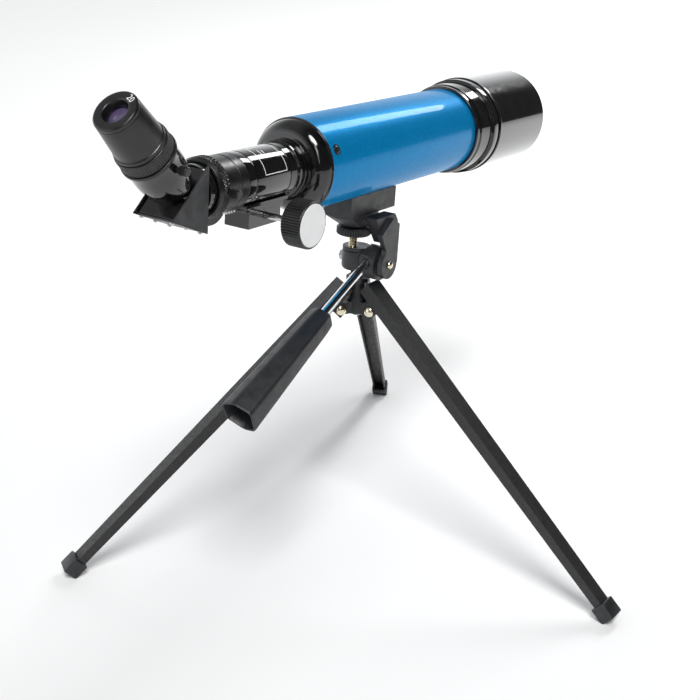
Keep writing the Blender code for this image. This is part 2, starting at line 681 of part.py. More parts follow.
def eyepiece_pieces():
    bore_r = EYE_TUBE_R + GAP
    ring("eyepiece_socket", SOCKET_R, bore_r, NECK_END + GAP, SOCKET_TOP, "satin_black", eyepiece, 32)
    hole = rod("socket_hole", THUMB_SHANK_R + GAP, 0, 30 * MM, None, eyepiece, 16)
    hole.rotation_euler = (math.pi / 2, 0, 0)
    hole.location = (0, 0, EYE_SCREW[0])
    cut(bpy.data.objects["diagonal_housing"], hole)
    screw = thumbscrew("eyepiece_thumbscrew", (0, 0, 0), EYE_TUBE_R + 2 * GAP, EYE_SCREW[1], EYE_SCREW[2])
    screw.parent = eyepiece
    screw.location = (0, 0, EYE_SCREW[0])
    grip_low, grip_high = SOCKET_TOP + GAP, GRIP_TOP
    tube_top = grip_high + 4 * MM
    ring("eyepiece_tube", EYE_TUBE_R, EYE_TUBE_R - 1 * MM, 18 * MM, tube_top, "chrome", eyepiece, 36)
    ring("eyepiece_grip_ring", GRIP_RING_R, bore_r, grip_low, grip_high, "satin_black", eyepiece, 32)
    top = EYE_LENGTH
    outline = [
        (EYE_TOP_R - 0.8 * MM, top), (EYE_TOP_R, top - 0.9 * MM), (14.7 * MM, grip_high + 3 * MM),
        (15.4 * MM, grip_high + GAP), (bore_r, grip_high + GAP), (bore_r, grip_high + 5 * MM),
        (9.6 * MM, grip_high + 5.2 * MM), (9.6 * MM, top - 5.6 * MM), (6.4 * MM, top - 5.4 * MM),
        (6.4 * MM, top - 1 * MM), (7.2 * MM, top - 0.4 * MM),
    ]
    turned("eyepiece_body", outline, "satin_black", eyepiece, 32)
    eye = lens_outline(8.6 * MM, top - 8.6 * MM, top - 6 * MM, 0.2 * MM, 0.5 * MM, 3)
    turned("eye_lens", eye, "lens_glass", eyepiece, 24)
    field = lens_outline(10.6 * MM, 23 * MM, 26 * MM, 0.3 * MM, 1.2 * MM, 3)
    turned("field_lens", field, "lens_glass", eyepiece, 24)


# ---------------------------------------------------------------- mount block, stud and clamp
def mount_block():
    half = BLOCK_HALF_WIDTH
    made = block(
        "mount_block", (BLOCK_X[0], -half, -BLOCK_DROP), (BLOCK_X[1], half, -TUBE_R + 3.4 * MM),
        "matt_grey", optics)
    stud_x = STUD_X + REAR_REACH
    boss = turned("boss", [
        (0, -BLOCK_DROP + 2 * MM), (BOSS_TOP_R, -BLOCK_DROP + 2 * MM), (BOSS_TOP_R, -BLOCK_DROP - 0.6 * MM),
        (BOSS_LOW_R, -BOSS_DROP), (0, -BOSS_DROP)], None, optics, 32)
    boss.location = (stud_x, 0, 0)
    limit_low = (BLOCK_X[0] + GAP, -half + GAP, -60 * MM)
    limit = block("boss_limit", limit_low, (stud_x + BOSS_FRONT, half - GAP, -35 * MM), None, optics)
    boolean(boss, limit, "INTERSECT")
    saddle = rod("saddle", TUBE_R + GAP, BLOCK_X[0] - 5 * MM, BLOCK_X[1] + 5 * MM, None, optics, 48, "X")
    hole = rod("stud_hole", STUD_R + GAP, -70 * MM, -BLOCK_DROP + 4 * MM, None, optics, 24)
    hole.location = (stud_x, 0, 0)
    join(made, boss)
    cut(made, saddle, hole)


def stud_and_ring():
    plate_top = DRUM_TOP + GAP + 2.6 * MM
    ring_top = AXIS_HEIGHT - BOSS_DROP - GAP
    stud = turned("stud_screw", [
        (0, AXIS_HEIGHT - BLOCK_DROP), (STUD_R - 0.6 * MM, AXIS_HEIGHT - BLOCK_DROP),
        (STUD_R, AXIS_HEIGHT - BLOCK_DROP - 0.8 * MM), (STUD_R, DRUM_TOP - 1 * MM), (0, DRUM_TOP - 1 * MM),
    ], "brass_nickel", tilt, 24)
    stud.location = (STUD_X, 0, 0)
    ring_low = ring_top - RING_NUT_HEIGHT
    nut = ring("lock_ring", RING_NUT_R, STUD_R + GAP, ring_low, ring_top, "satin_black", tilt, 32)
    nut.location = (STUD_X, 0, 0)
    top = rod("camera_plate", PLATE_R, DRUM_TOP + GAP, plate_top, "matt_grey", tilt, 32)
    top.location = (PLATE_X, 0, 0)
    plate_hole = rod("plate_hole", STUD_R + GAP, 0, 20 * MM, None, tilt, 24)
    plate_hole.location = (STUD_X, 0, 0)
    cut(top, plate_hole)


# ---------------------------------------------------------------- tilt head and handle
def tilt_head():
    head = turned("tilt_head", [
        (0, DRUM_TOP), (DRUM_R - 0.6 * MM, DRUM_TOP), (DRUM_R, DRUM_TOP - 0.6 * MM),
        (DRUM_R, -DRUM_BOTTOM + 1.6 * MM), (DRUM_R - 0.9 * MM, -DRUM_BOTTOM), (0, -DRUM_BOTTOM),
    ], "matt_grey", tilt, 32)
    head.location = (DRUM_X, 0, 0)
    barrel = rod("barrel", BARREL_R, BARREL_Y[0], BARREL_Y[1], None, tilt, 32, "Y")
    boss = rod("handle_boss", BOSS_R, -4 * MM, BOSS_REACH, None, handle, 28)
    pocket = plate(
        "tongue_pocket", [(-5.2 * MM, 5 * MM), (5.2 * MM, 5 * MM), (8.2 * MM, -8 * MM), (-9.6 * MM, -8 * MM)],
        -TONGUE[1] - 0.4 * MM, TONGUE[1] + 0.4 * MM, None, tilt, "Y")
    bolt_hole = rod("bolt_hole", BOLT_R + GAP, -30 * MM, 20 * MM, None, tilt, 20, "Y")
    rod_hole = rod("rod_hole", ROD_R + GAP, -1 * MM, 30 * MM, None, handle, 20)
    stud_seat = rod("stud_seat", STUD_R + GAP, DRUM_TOP - 1.3 * MM, 20 * MM, None, tilt, 24)
    stud_seat.location = (STUD_X, 0, 0)
    plate_room = rod("plate_room", PLATE_R + GAP, DRUM_TOP, 30 * MM, None, tilt, 40)
    plate_room.location = (PLATE_X, 0, 0)
    join(head, barrel, boss)
    cut(head, pocket, bolt_hole, rod_hole, stud_seat, plate_room)


def tilt_arm():
    cheek = plate("tilt_arm", [
        (10.5 * MM, 0), (10.5 * MM, 27.5 * MM), (1.8 * MM, 33 * MM), (-12.5 * MM, 23 * MM),
        (-5.5 * MM, 11 * MM), (-8 * MM, 0),
    ], ARM_Y[0], ARM_Y[1], "matt_grey", tilt, "Y")
    disc = rod("arm_disc", ARM_DISC_R, ARM_Y[0], ARM_Y[1], None, tilt, 40, "Y")
    top = AXIS_HEIGHT - BLOCK_DROP - GAP
    finger = plate("arm_finger", [
        (-16 * MM, top), (9.5 * MM, top), (13.4 * MM, top - 5 * MM), (14 * MM, top - 9.5 * MM),
        (4 * MM, 16 * MM), (-1.6 * MM, 14.6 * MM),
    ], ARM_Y[1] - 0.5 * MM, -RING_NUT_R - 0.5 * MM, None, tilt, "Y")
    hole = rod("arm_hole", BOLT_R + GAP, -30 * MM, 20 * MM, None, tilt, 20, "Y")
    join(cheek, disc, finger)
    cut(cheek, hole)
    bolt = turned("tilt_bolt", [
        (0, 2 * MM), (1.6 * MM, 1.7 * MM), (2.6 * MM, 0.9 * MM), (2.9 * MM, 0), (BOLT_R, 0),
        (BOLT_R, -40 * MM), (0, -40 * MM),
    ], "brass_nickel", tilt, 24)
    bolt.location = (0, ARM_Y[0] - GAP, 0)
    bolt.rotation_euler = (math.pi / 2, 0, 0)
    six_sides = arc((0, 0), 4 * MM, 0, 300, 5)
    nut = plate("tilt_nut", six_sides, DRUM_R + GAP, DRUM_R + 3.2 * MM, "steel", tilt, "Y")
    nut_hole = rod("nut_hole", BOLT_R + GAP, -30 * MM, 20 * MM, None, tilt, 20, "Y")
    cut(nut, nut_hole)


handle = empty("handle_axis", tilt, (0, HANDLE_Y, 0), (0, -math.pi / 2 - HANDLE_DROP, 0))
handle_up = Vector((-math.sin(HANDLE_DROP), 0, math.cos(HANDLE_DROP)))
handle.location = Vector((0, HANDLE_Y, 0)) + HANDLE_LIFT * handle_up


def pan_handle():
    rod("handle_rod", ROD_R, 0, GRIP_START + 12 * MM, "chrome", handle, 24)
    outer = [(9.2, 1.4), (5.6, 10.8), (-6.2, 10.6), (-11.8, -1.4), (-10.6, -9.6), (4.6, -10.6)]
    grip = loft("handle_grip", outer, [(GRIP_START, 0.72), (GRIP_START + 8 * MM, 0.78),
                                       (GRIP_START + GRIP_LENGTH, 1.08)], "matt_grey", handle)
    round_edges(grip, 1.2 * MM)
    hollow = loft("grip_hollow", outer, [(GRIP_START + 14 * MM, 0.56),
                                         (GRIP_START + GRIP_LENGTH + 4 * MM, 0.93)], None, handle)
    hole = rod("grip_hole", ROD_R + GAP, GRIP_START - 10 * MM, GRIP_START + 25 * MM, None, handle, 20)
    cut(grip, hollow, hole)


# ---------------------------------------------------------------- pan base, hub and legs
def pan_base():
    base = rod("pan_base", BASE_R, BASE_BOTTOM, TILT_HEIGHT, "matt_grey", root, 32)
    sweep = math.hypot(DRUM_R - DRUM_X - 0.7 * MM, DRUM_BOTTOM) + GAP
    saddle = rod("base_saddle", sweep, -20 * MM, 20 * MM, None, root, 32, "Y")
    saddle.location = (0, 0, TILT_HEIGHT)
    tongue_low = (-TONGUE[0], -TONGUE[1], BASE_BOTTOM + 2 * MM)
    tongue = block("tongue", tongue_low, (TONGUE[0], TONGUE[1], TILT_HEIGHT), None, root)
    eye = rod("tongue_eye", 4.5 * MM, -TONGUE[1], TONGUE[1], None, root, 28, "Y")
    eye.location = (0, 0, TILT_HEIGHT)
    bore = rod("tongue_bore", BOLT_R + GAP, -20 * MM, 20 * MM, None, root, 20, "Y")
    bore.location = (0, 0, TILT_HEIGHT)
    room_top = BASE_BOTTOM + 3.5 * MM
    screw_room = rod("screw_room", PAN_SCREW_R + GAP, BASE_BOTTOM - 5 * MM, room_top, None, root, 20)
    cut(base, saddle)
    join(base, tongue, eye)
    cut(base, bore, screw_room)


def hub():
    core = turned("tripod_hub", [
        (0, BASE_BOTTOM - GAP), (SPIGOT_TOP_R, BASE_BOTTOM - GAP),
        (SPIGOT_TOP_R, 184 * MM), (HUB_R, 181 * MM),
        (HUB_R, HUB_BOTTOM + 1 * MM), (HUB_R - 1 * MM, HUB_BOTTOM), (0, HUB_BOTTOM),
    ], "matt_grey", root, 24)
    for i, azimuth in enumerate(LEG_AZIMUTHS):
        turn = (0, 0, math.radians(azimuth))
        half = LEG_WIDTH / 2 - LEG_WALL - 0.4 * MM
        reach = 4.4 * MM
        rounded = arc((PIVOT_R, PIVOT_Z), reach, -90, 90, 8)
        outline = [(3 * MM, PIVOT_Z - reach)] + rounded + [(3 * MM, PIVOT_Z + reach)]
        lug = plate(f"lug_{i + 1}", outline, -half, half, None, root, "Y")
        lug.rotation_euler = turn
        join(core, lug)
    for i, azimuth in enumerate(LEG_AZIMUTHS):
        swing = empty(f"rivet_axis_{i + 1}", root, (0, 0, 0), (0, 0, math.radians(azimuth)))
        bore = rod(f"lug_bore_{i + 1}", RIVET_R + GAP, -10 * MM, 10 * MM, None, swing, 20, "Y")
        bore.location = (PIVOT_R, 0, PIVOT_Z)
        cut(core, bore)
    hole_span = (HUB_BOTTOM - 5 * MM, BASE_BOTTOM + 5 * MM)
    screw_hole = rod("pan_screw_hole", PAN_SCREW_R + GAP, hole_span[0], hole_span[1], None, root, 20)
    cut(core, screw_hole)
    screw_length = BASE_BOTTOM + 3 * MM - HUB_BOTTOM
    screw_shape = screw_outline(PAN_SCREW_R, 2 * PAN_SCREW_R, screw_length, 2 * MM)
    screw = turned("pan_screw", screw_shape, "steel", root, 24)
    screw.location = (0, 0, HUB_BOTTOM - GAP)
    screw.rotation_euler = (math.pi, 0, 0)


def leg(number, azimuth):
    spin = empty(f"leg_azimuth_{number}", root, (0, 0, 0), (0, 0, math.radians(azimuth)))
    pivot = empty(f"leg_pivot_{number}", spin, (PIVOT_R, 0, PIVOT_Z), (0, -LEG_ANGLE, 0))
    half, wall = LEG_WIDTH / 2, LEG_WALL
    face = LEG_OFFSET + LEG_DEPTH / 2
    edge = LEG_OFFSET - LEG_DEPTH / 2
    ear = -4.2 * MM
    channel = [
        (face, -half), (face, half), (ear, half), (ear, half - wall),
        (face - wall, half - wall), (face - wall, wall - half), (ear, wall - half), (ear, -half),
    ]
    bottom = -LEG_REACH - CAP_SIZE[2] / 2 + 2.6 * MM
    made = plate(f"leg_{number}", channel, bottom, LEG_TOP, "textured_black", pivot)
    for vertex in made.data.vertices:
        share = (vertex.co.z - bottom) / (LEG_TOP - bottom)
        vertex.co.y *= LEG_TAPER[0] + (LEG_TAPER[1] - LEG_TAPER[0]) * share
        deep = max(0, (vertex.co.x - edge) / LEG_DEPTH)
        vertex.co.x += deep * (FACE_TAPER[0] + (FACE_TAPER[1] - FACE_TAPER[0]) * share)
    wide = half + 5 * MM
    for side, (low, high) in enumerate(((bottom - 5 * MM, -EAR_HALF), (EAR_HALF, LEG_TOP + 5 * MM))):
        trim = block(f"ear_trim_{number}_{side}", (-10 * MM, -wide, low), (edge, wide, high), None, pivot)
        cut(made, trim)
    bore = rod(f"ear_bore_{number}", RIVET_R + GAP, -15 * MM, 15 * MM, None, pivot, 20, "Y")
    cut(made, bore)
    foot_cap(number, pivot)
    leg_rivet(number, pivot)


def foot_cap(number, pivot):
    sx, sy, sz = CAP_SIZE
    middle = Vector((LEG_OFFSET + FACE_TAPER[0] / 2, 0, -LEG_REACH))
    half = Vector((sx, sy, sz)) / 2
    cap = block(f"foot_cap_{number}", middle - half, middle + half, "matt_grey", pivot, 0.8 * MM)
    room_x = (LEG_DEPTH + FACE_TAPER[0]) / 2 + 0.1 * MM + GAP
    room_y = LEG_WIDTH / 2 * LEG_TAPER[0] + 0.1 * MM + GAP
    pocket = block(
        f"cap_pocket_{number}", (middle.x - room_x, -room_y, -LEG_REACH - sz / 2 + 2.3 * MM),
        (middle.x + room_x, room_y, -LEG_REACH + sz), None, pivot)
    floor = block(f"floor_{number}", (-0.4, -0.4, -0.05), (0.4, 0.4, 0), None, root)
    cut(cap, pocket, floor)


def leg_rivet(number, pivot):
    """Both heads are formed on one shank, across the ears of the leg."""
    out = LEG_WIDTH / 2 * LEG_TAPER[1] + GAP
    dome = [(3.9, 0), (3.6, 0.9), (2.6, 1.8), (1.4, 2.2)]
    top = [(r * MM, out + h * MM) for r, h in dome]
    outline = [(0, out + 2.3 * MM)] + top[::-1] + [(RIVET_R, out), (RIVET_R, -out)]
    outline += [(r, -y) for r, y in top] + [(0, -out - 2.3 * MM)]
    turned(f"leg_rivet_{number}", outline, "brass_nickel", pivot, 20, "Y")


def place_origin():
    """Moves the root so that the origin is the middle of the bounding box, on the table."""
    bpy.context.view_layer.update()
    graph = bpy.context.evaluated_depsgraph_get()
    low, high = Vector((9, 9, 9)), Vector((-9, -9, -9))
    for obj in PARTS.objects:
        if obj.type != "MESH":
            continue
        shape = obj.evaluated_get(graph)
        mesh = shape.to_mesh()
        for vertex in mesh.vertices:
            place = obj.matrix_world @ vertex.co
            low = Vector(map(min, low, place))
            high = Vector(map(max, high, place))
        shape.to_mesh_clear()
    middle = (low + high) / 2
    root.location = (-middle.x, -middle.y, -low.z)


main_tube()
objective_cell()
dew_shield()
focuser_body()
pinion_cover()
pinion_and_knobs()
drawtube()
end_collar()
diagonal()
eyepiece_pieces()
mount_block()
stud_and_ring()
tilt_head()
tilt_arm()
pan_handle()
pan_base()
hub()
for index, azimuth in enumerate(LEG_AZIMUTHS):
    leg(index + 1, azimuth)
place_origin()
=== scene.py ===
"""A small blue refracting telescope on a folding table tripod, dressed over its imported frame."""

import json
import math

import bmesh
import bpy
import numpy as np
from mathutils import Matrix, Vector

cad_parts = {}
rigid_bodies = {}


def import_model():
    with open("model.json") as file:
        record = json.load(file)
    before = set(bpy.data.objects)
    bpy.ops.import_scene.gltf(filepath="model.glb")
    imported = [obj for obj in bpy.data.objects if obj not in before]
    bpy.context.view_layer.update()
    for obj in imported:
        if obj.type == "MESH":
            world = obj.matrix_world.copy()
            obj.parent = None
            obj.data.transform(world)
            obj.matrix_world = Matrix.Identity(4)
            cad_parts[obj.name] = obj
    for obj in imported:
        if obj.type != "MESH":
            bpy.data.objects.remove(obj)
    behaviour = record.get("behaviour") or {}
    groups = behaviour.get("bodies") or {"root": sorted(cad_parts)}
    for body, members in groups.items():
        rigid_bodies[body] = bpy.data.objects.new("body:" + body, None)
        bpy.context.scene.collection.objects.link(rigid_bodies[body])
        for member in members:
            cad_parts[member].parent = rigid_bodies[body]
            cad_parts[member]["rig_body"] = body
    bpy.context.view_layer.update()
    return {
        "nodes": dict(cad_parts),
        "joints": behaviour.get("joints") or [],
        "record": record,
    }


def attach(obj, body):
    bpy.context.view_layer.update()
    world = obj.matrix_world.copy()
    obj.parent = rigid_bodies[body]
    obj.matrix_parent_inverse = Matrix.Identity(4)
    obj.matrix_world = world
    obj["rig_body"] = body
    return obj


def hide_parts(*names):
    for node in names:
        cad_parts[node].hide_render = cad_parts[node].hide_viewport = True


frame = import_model()
JOINTS = {joint["name"]: joint for joint in frame["joints"]}
NODES = frame["nodes"]
SLOTS = {part["node"]: part["material_slot"] for part in frame["record"]["subparts"]}
MM = 0.001


# ---------------------------------------------------------------- places on the object
class Place:
    """An origin and three unit axes; it turns local millimetre points into places in metres."""

    def __init__(self, origin, x, y, z):
        self.origin = np.array(origin, float)
        self.axes = np.array([x, y, z], float)

    def put(self, points):
        """Place = origin + x * first axis + y * second axis + z * third axis."""
        return self.origin + (np.asarray(points, float) * MM) @ self.axes

    def local(self, points):
        """The reverse of put: the offset from the origin measured along each axis, in millimetres."""
        return (np.asarray(points, float) - self.origin) @ self.axes.T / MM

    def shifted(self, x=0.0, y=0.0, z=0.0):
        return Place(self.put([x, y, z]), *self.axes)

    def turned_to(self, x, z):
        """The same origin with a new local x and z, given in this place's own axes."""
        new_x, new_z = np.array(x, float) @ self.axes, np.array(z, float) @ self.axes
        new_z = new_z / np.linalg.norm(new_z)
        new_x = new_x - new_z * (new_x @ new_z)
        new_x = new_x / np.linalg.norm(new_x)
        return Place(self.origin, new_x, np.cross(new_z, new_x), new_z)


def joint_point(name):
    return np.array(JOINTS[name]["pos_m"], float)


def joint_axis(name):
    return np.array(JOINTS[name]["axis"], float)


def extent(node, place):
    """Lowest and highest corner of a frame node, measured along a place's axes in millimetres."""
    corners = np.empty(len(NODES[node].data.vertices) * 3, np.float32)
    NODES[node].data.vertices.foreach_get("co", corners)
    local = place.local(corners.reshape(-1, 3))
    return local.min(0), local.max(0)


SIDE = np.array([0.0, 1.0, 0.0])
UP = np.array([0.0, 0.0, 1.0])
AHEAD = joint_axis("diagonal_turn")
ABOVE = np.cross(AHEAD, SIDE)
OPTICS = Place(joint_point("diagonal_turn"), AHEAD, SIDE, ABOVE)
TUBE = OPTICS.turned_to((0, 0, 1), (1, 0, 0))  # z along the tube, x up, y to the near side
TILT = Place(joint_point("tilt"), AHEAD, SIDE, ABOVE)
STUD = Place(joint_point("ring_nut_spin"), AHEAD, SIDE, ABOVE)
EYE_SCREW_UP = 25.8
EYE_WAY = joint_axis("eyepiece_slide")
EYE_CROSS = joint_point("eyepiece_screw_turn") - EYE_WAY * EYE_SCREW_UP * MM
EYE = Place(EYE_CROSS, np.cross(SIDE, EYE_WAY), SIDE, EYE_WAY)
HANDLE_WAY = joint_axis("handle_twist")
HANDLE = Place(joint_point("handle_twist"), np.cross(SIDE, HANDLE_WAY), SIDE, HANDLE_WAY)
SHAFT = Place(joint_point("focus_knob_turn"), AHEAD, SIDE, ABOVE)
LEG_SIDES = ("left", "right", "rear")
LEG_ANGLE = math.radians(48.2)


def leg_place(side):
    """Origin on the rivet, x out of the leg's broad face, z up along the leg."""
    across = joint_axis(f"leg_{side}_fold")
    out = np.cross(across, UP)
    x = out * math.cos(LEG_ANGLE) + UP * math.sin(LEG_ANGLE)
    return Place(joint_point(f"leg_{side}_fold"), x, across, np.cross(x, across))


# ---------------------------------------------------------------- camera, light, floor
def turn_rows(first, second, angle):
    """A 3x3 turn of two axes: first' = first * cos - second * sin, second' = first * sin + second * cos."""
    made = np.eye(3)
    made[first, first] = made[second, second] = math.cos(angle)
    made[first, second], made[second, first] = -math.sin(angle), math.sin(angle)
    return made


FRONT_LIGHT = 0.05  # strength of the surroundings on the -Y side
BACK_LIGHT = 1.35  # and on the +Y side
OVERHEAD_SHARE = 0.25  # how much of either is left overhead


def make_camera():
    """Looks 35 degrees round and 16 degrees down, then swings a little to frame the object."""
    heading, down = math.radians(35.06), math.radians(15.81)
    swing, nod, roll = math.radians(2.55), math.radians(8.32), math.radians(0.39)
    distance, focal_length = 0.79884, 64.8972  # metres, and millimetres on a 36 mm sensor
    level = math.cos(down)
    back = np.array([-level * math.cos(heading), -level * math.sin(heading), math.sin(down)])
    right = np.cross(-back, UP)
    right /= np.linalg.norm(right)
    rows = np.stack([right, np.cross(-back, right), -back])
    rows = turn_rows(0, 1, roll) @ turn_rows(1, 2, nod) @ turn_rows(0, 2, swing) @ rows
    lens = bpy.data.cameras.new("camera")
    lens.sensor_width = 36
    lens.lens = focal_length
    lens.clip_start, lens.clip_end = 0.05, 20
    camera = bpy.data.objects.new("camera", lens)
    bpy.context.scene.collection.objects.link(camera)
    turn = Matrix([[rows[0][i], -rows[1][i], -rows[2][i]] for i in range(3)])
    camera.matrix_world = Matrix.Translation(Vector(OPTICS.origin + back * distance)) @ turn.to_4x4()
    bpy.context.scene.camera = camera


def softbox(name, place, aim, size, power):
    light = bpy.data.lights.new(name, "AREA")
    light.shape = "RECTANGLE"
    light.size, light.size_y = size
    light.energy = power
    made = bpy.data.objects.new(name, light)
    bpy.context.scene.collection.objects.link(made)
    made.location = place
    made.rotation_euler = (Vector(aim) - Vector(place)).to_track_quat("-Z", "Y").to_euler()


def ramp(tree, value, low, high, at_low, at_high):
    """A value that goes from at_low to at_high while its input goes from low to high."""
    node = tree.nodes.new("ShaderNodeMapRange")
    node.interpolation_type = "SMOOTHSTEP"
    node.inputs["From Min"].default_value = low
    node.inputs["From Max"].default_value = high
    node.inputs["To Min"].default_value = at_low
    node.inputs["To Max"].default_value = at_high
    tree.links.new(value, node.inputs["Value"])
    return node.outputs["Result"]


def make_studio():
    """White behind the object, dark in front of it and overhead, a soft key and two boxes for highlights."""
    world = bpy.data.worlds.new("studio")
    bpy.context.scene.world = world
    world.use_nodes = True
    tree = world.node_tree
    way = tree.nodes.new("ShaderNodeSeparateXYZ")
    tree.links.new(tree.nodes.new("ShaderNodeTexCoord").outputs["Generated"], way.inputs["Vector"])
    around = ramp(tree, way.outputs["Y"], -0.15, 0.45, FRONT_LIGHT, BACK_LIGHT)
    above = ramp(tree, way.outputs["Z"], 0.20, 0.75, 1.0, OVERHEAD_SHARE)
    strength = tree.nodes.new("ShaderNodeMath")
    strength.operation = "MULTIPLY"
    tree.links.new(around, strength.inputs[0])
    tree.links.new(above, strength.inputs[1])
    tree.links.new(strength.outputs["Value"], tree.nodes["Background"].inputs["Strength"])
    tree.nodes["Background"].inputs["Color"].default_value = (0.97, 0.985, 1.0, 1)
    bpy.context.scene.view_settings.view_transform = "Standard"
    key = bpy.data.lights.new("key_dome", "SUN")
    key.energy, key.angle = 2.3, math.radians(24)
    dome = bpy.data.objects.new("key_dome", key)
    bpy.context.scene.collection.objects.link(dome)
    dome.rotation_euler = Vector((0.50, 0.42, -1.0)).to_track_quat("-Z", "Y").to_euler()
    softbox("right_overhead", (1.65, 0.0, 1.15), (1.66, 0.0, 0), (0.34, 1.6), 19)
    softbox("left_strip", (-1.1, -0.75, 0.95), (-0.05, 0, 0.29), (0.16, 0.9), 2)


def make_floor():
    mesh = bpy.data.meshes.new("floor")
    mesh.from_pydata([(-3, -3, 0), (3, -3, 0), (3, 3, 0), (-3, 3, 0)], [], [(0, 1, 2, 3)])
    floor = bpy.data.objects.new("floor", mesh)
    bpy.context.scene.collection.objects.link(floor)
    paper = bpy.data.materials.new("paper")
    paper.use_nodes = True
    paper.node_tree.nodes["Principled BSDF"].inputs["Base Color"].default_value = (0.93, 0.93, 0.93, 1)
    paper.node_tree.nodes["Principled BSDF"].inputs["Roughness"].default_value = 0.9
    mesh.materials.append(paper)


make_camera()
make_studio()
make_floor()


# ---------------------------------------------------------------- finishes
class Recipe:
    """Builds one material's nodes; every pattern is read from Object coordinates, in millimetres."""

    def __init__(self, name):
        self.made = bpy.data.materials.new(name)
        self.made.use_nodes = True
        self.tree = self.made.node_tree
        self.shader = self.tree.nodes["Principled BSDF"]
        self.coords = self.tree.nodes.new("ShaderNodeTexCoord").outputs["Object"]

    def fix(self, **values):
        for socket, value in values.items():
            self.shader.inputs[socket.replace("_", " ").title().replace("Ior", "IOR")].default_value = value
        return self

    def wire(self, source, socket):
        self.tree.links.new(source, self.shader.inputs[socket])

    def noise(self, size, detail=2.0, stretch=None):
        node = self.tree.nodes.new("ShaderNodeTexNoise")
        node.inputs["Scale"].default_value = 1 / (size * MM)
        node.inputs["Detail"].default_value = detail
        where = self.coords
        if stretch:
            mapping = self.tree.nodes.new("ShaderNodeMapping")
            mapping.inputs["Scale"].default_value = stretch
            self.tree.links.new(where, mapping.inputs["Vector"])
            where = mapping.outputs["Vector"]
        self.tree.links.new(where, node.inputs["Vector"])
        return node.outputs["Fac"]

    def cells(self, size, output="Color"):
        node = self.tree.nodes.new("ShaderNodeTexVoronoi")
        node.inputs["Scale"].default_value = 1 / (size * MM)
        self.tree.links.new(self.coords, node.inputs["Vector"])
        return node.outputs[output]

    def between(self, source, low, high, start=0.35, end=0.65):
        node = self.tree.nodes.new("ShaderNodeMapRange")
        node.inputs["From Min"].default_value, node.inputs["From Max"].default_value = start, end
        node.inputs["To Min"].default_value, node.inputs["To Max"].default_value = low, high
        self.tree.links.new(source, node.inputs["Value"])
        return node.outputs["Result"]

    def tones(self, source, first, second):
        node = self.tree.nodes.new("ShaderNodeMix")
        node.data_type = "RGBA"
        node.inputs[6].default_value, node.inputs[7].default_value = (*first, 1), (*second, 1)
        self.tree.links.new(source, node.inputs[0])
        return node.outputs[2]

    def bump(self, source, depth, under=None):
        node = self.tree.nodes.new("ShaderNodeBump")
        node.inputs["Distance"].default_value = depth * MM
        self.tree.links.new(source, node.inputs["Height"])
        if under:
            self.tree.links.new(under, node.inputs["Normal"])
        return node.outputs["Normal"]


def plain_finish(name, first, second, roughness, uneven, grain, depth, patch=9.0, stretch=None, **fixed):
    """Two tones drift over patch mm, roughness wanders by uneven, and a grain mm bump is depth mm high."""
    recipe = Recipe(name).fix(**fixed)
    recipe.wire(recipe.tones(recipe.between(recipe.noise(patch, 3), 0, 1), first, second), "Base Color")
    wander = recipe.noise(patch * 0.6, 4, stretch)
    recipe.wire(recipe.between(wander, roughness - uneven, roughness + uneven), "Roughness")
    recipe.wire(recipe.bump(recipe.noise(grain, 3, stretch), depth), "Normal")
    return recipe.made


def metallic_blue():
    """Flakes 0.3 mm across differ in brightness and lean, under a smooth clear coat."""
    recipe = Recipe("blue_paint").fix(
        metallic=0.30, specular_ior_level=0.0, coat_weight=0.24, coat_roughness=0.03, coat_ior=1.5)
    split = recipe.tree.nodes.new("ShaderNodeSeparateColor")
    recipe.tree.links.new(recipe.cells(0.32), split.inputs["Color"])
    flake = recipe.between(split.outputs["Red"], 0, 1, 0.0, 1.0)
    recipe.wire(recipe.tones(flake, (0.001, 0.15, 0.40), (0.004, 0.31, 0.66)), "Base Color")
    recipe.wire(recipe.between(split.outputs["Green"], 0.28, 0.42, 0.0, 1.0), "Roughness")
    recipe.wire(recipe.bump(split.outputs["Blue"], 0.006), "Normal")
    return recipe.made


def powder_coat():
    """Fine pebbles 0.5 mm across over a slow orange-peel, on near-black."""
    recipe = Recipe("textured_black")
    speckle = recipe.between(recipe.noise(0.7, 3), 0, 1)
    recipe.wire(recipe.tones(speckle, (0.006, 0.006, 0.0065), (0.022, 0.022, 0.023)), "Base Color")
    recipe.wire(recipe.between(recipe.noise(2.5, 4), 0.36, 0.55), "Roughness")
    slow = recipe.bump(recipe.noise(2.2, 2), 0.10)
    recipe.wire(recipe.bump(recipe.noise(0.55, 2), 0.16, slow), "Normal")
    return recipe.made


def coated_glass():
    """Dark glass whose lightened, purple-tinted base colour is a painted reflection of its coating's purple
    and green bloom, drifting slowly across it.
    """
    recipe = Recipe("lens_glass").fix(roughness=0.02, ior=1.6, coat_weight=1.0, coat_roughness=0.01)
    recipe.shader.inputs["Coat Tint"].default_value = (0.75, 0.6, 1.0, 1)
    drift = recipe.between(recipe.noise(14, 1), 0, 1)
    # These two tones are a painted reflection: grey with a purple tint standing in for the light the coating
    # reflects.
    recipe.wire(recipe.tones(drift, (0.085, 0.070, 0.095), (0.15, 0.15, 0.165)), "Base Color")
    recipe.wire(recipe.bump(recipe.noise(8, 1), 0.002), "Normal")
    return recipe.made


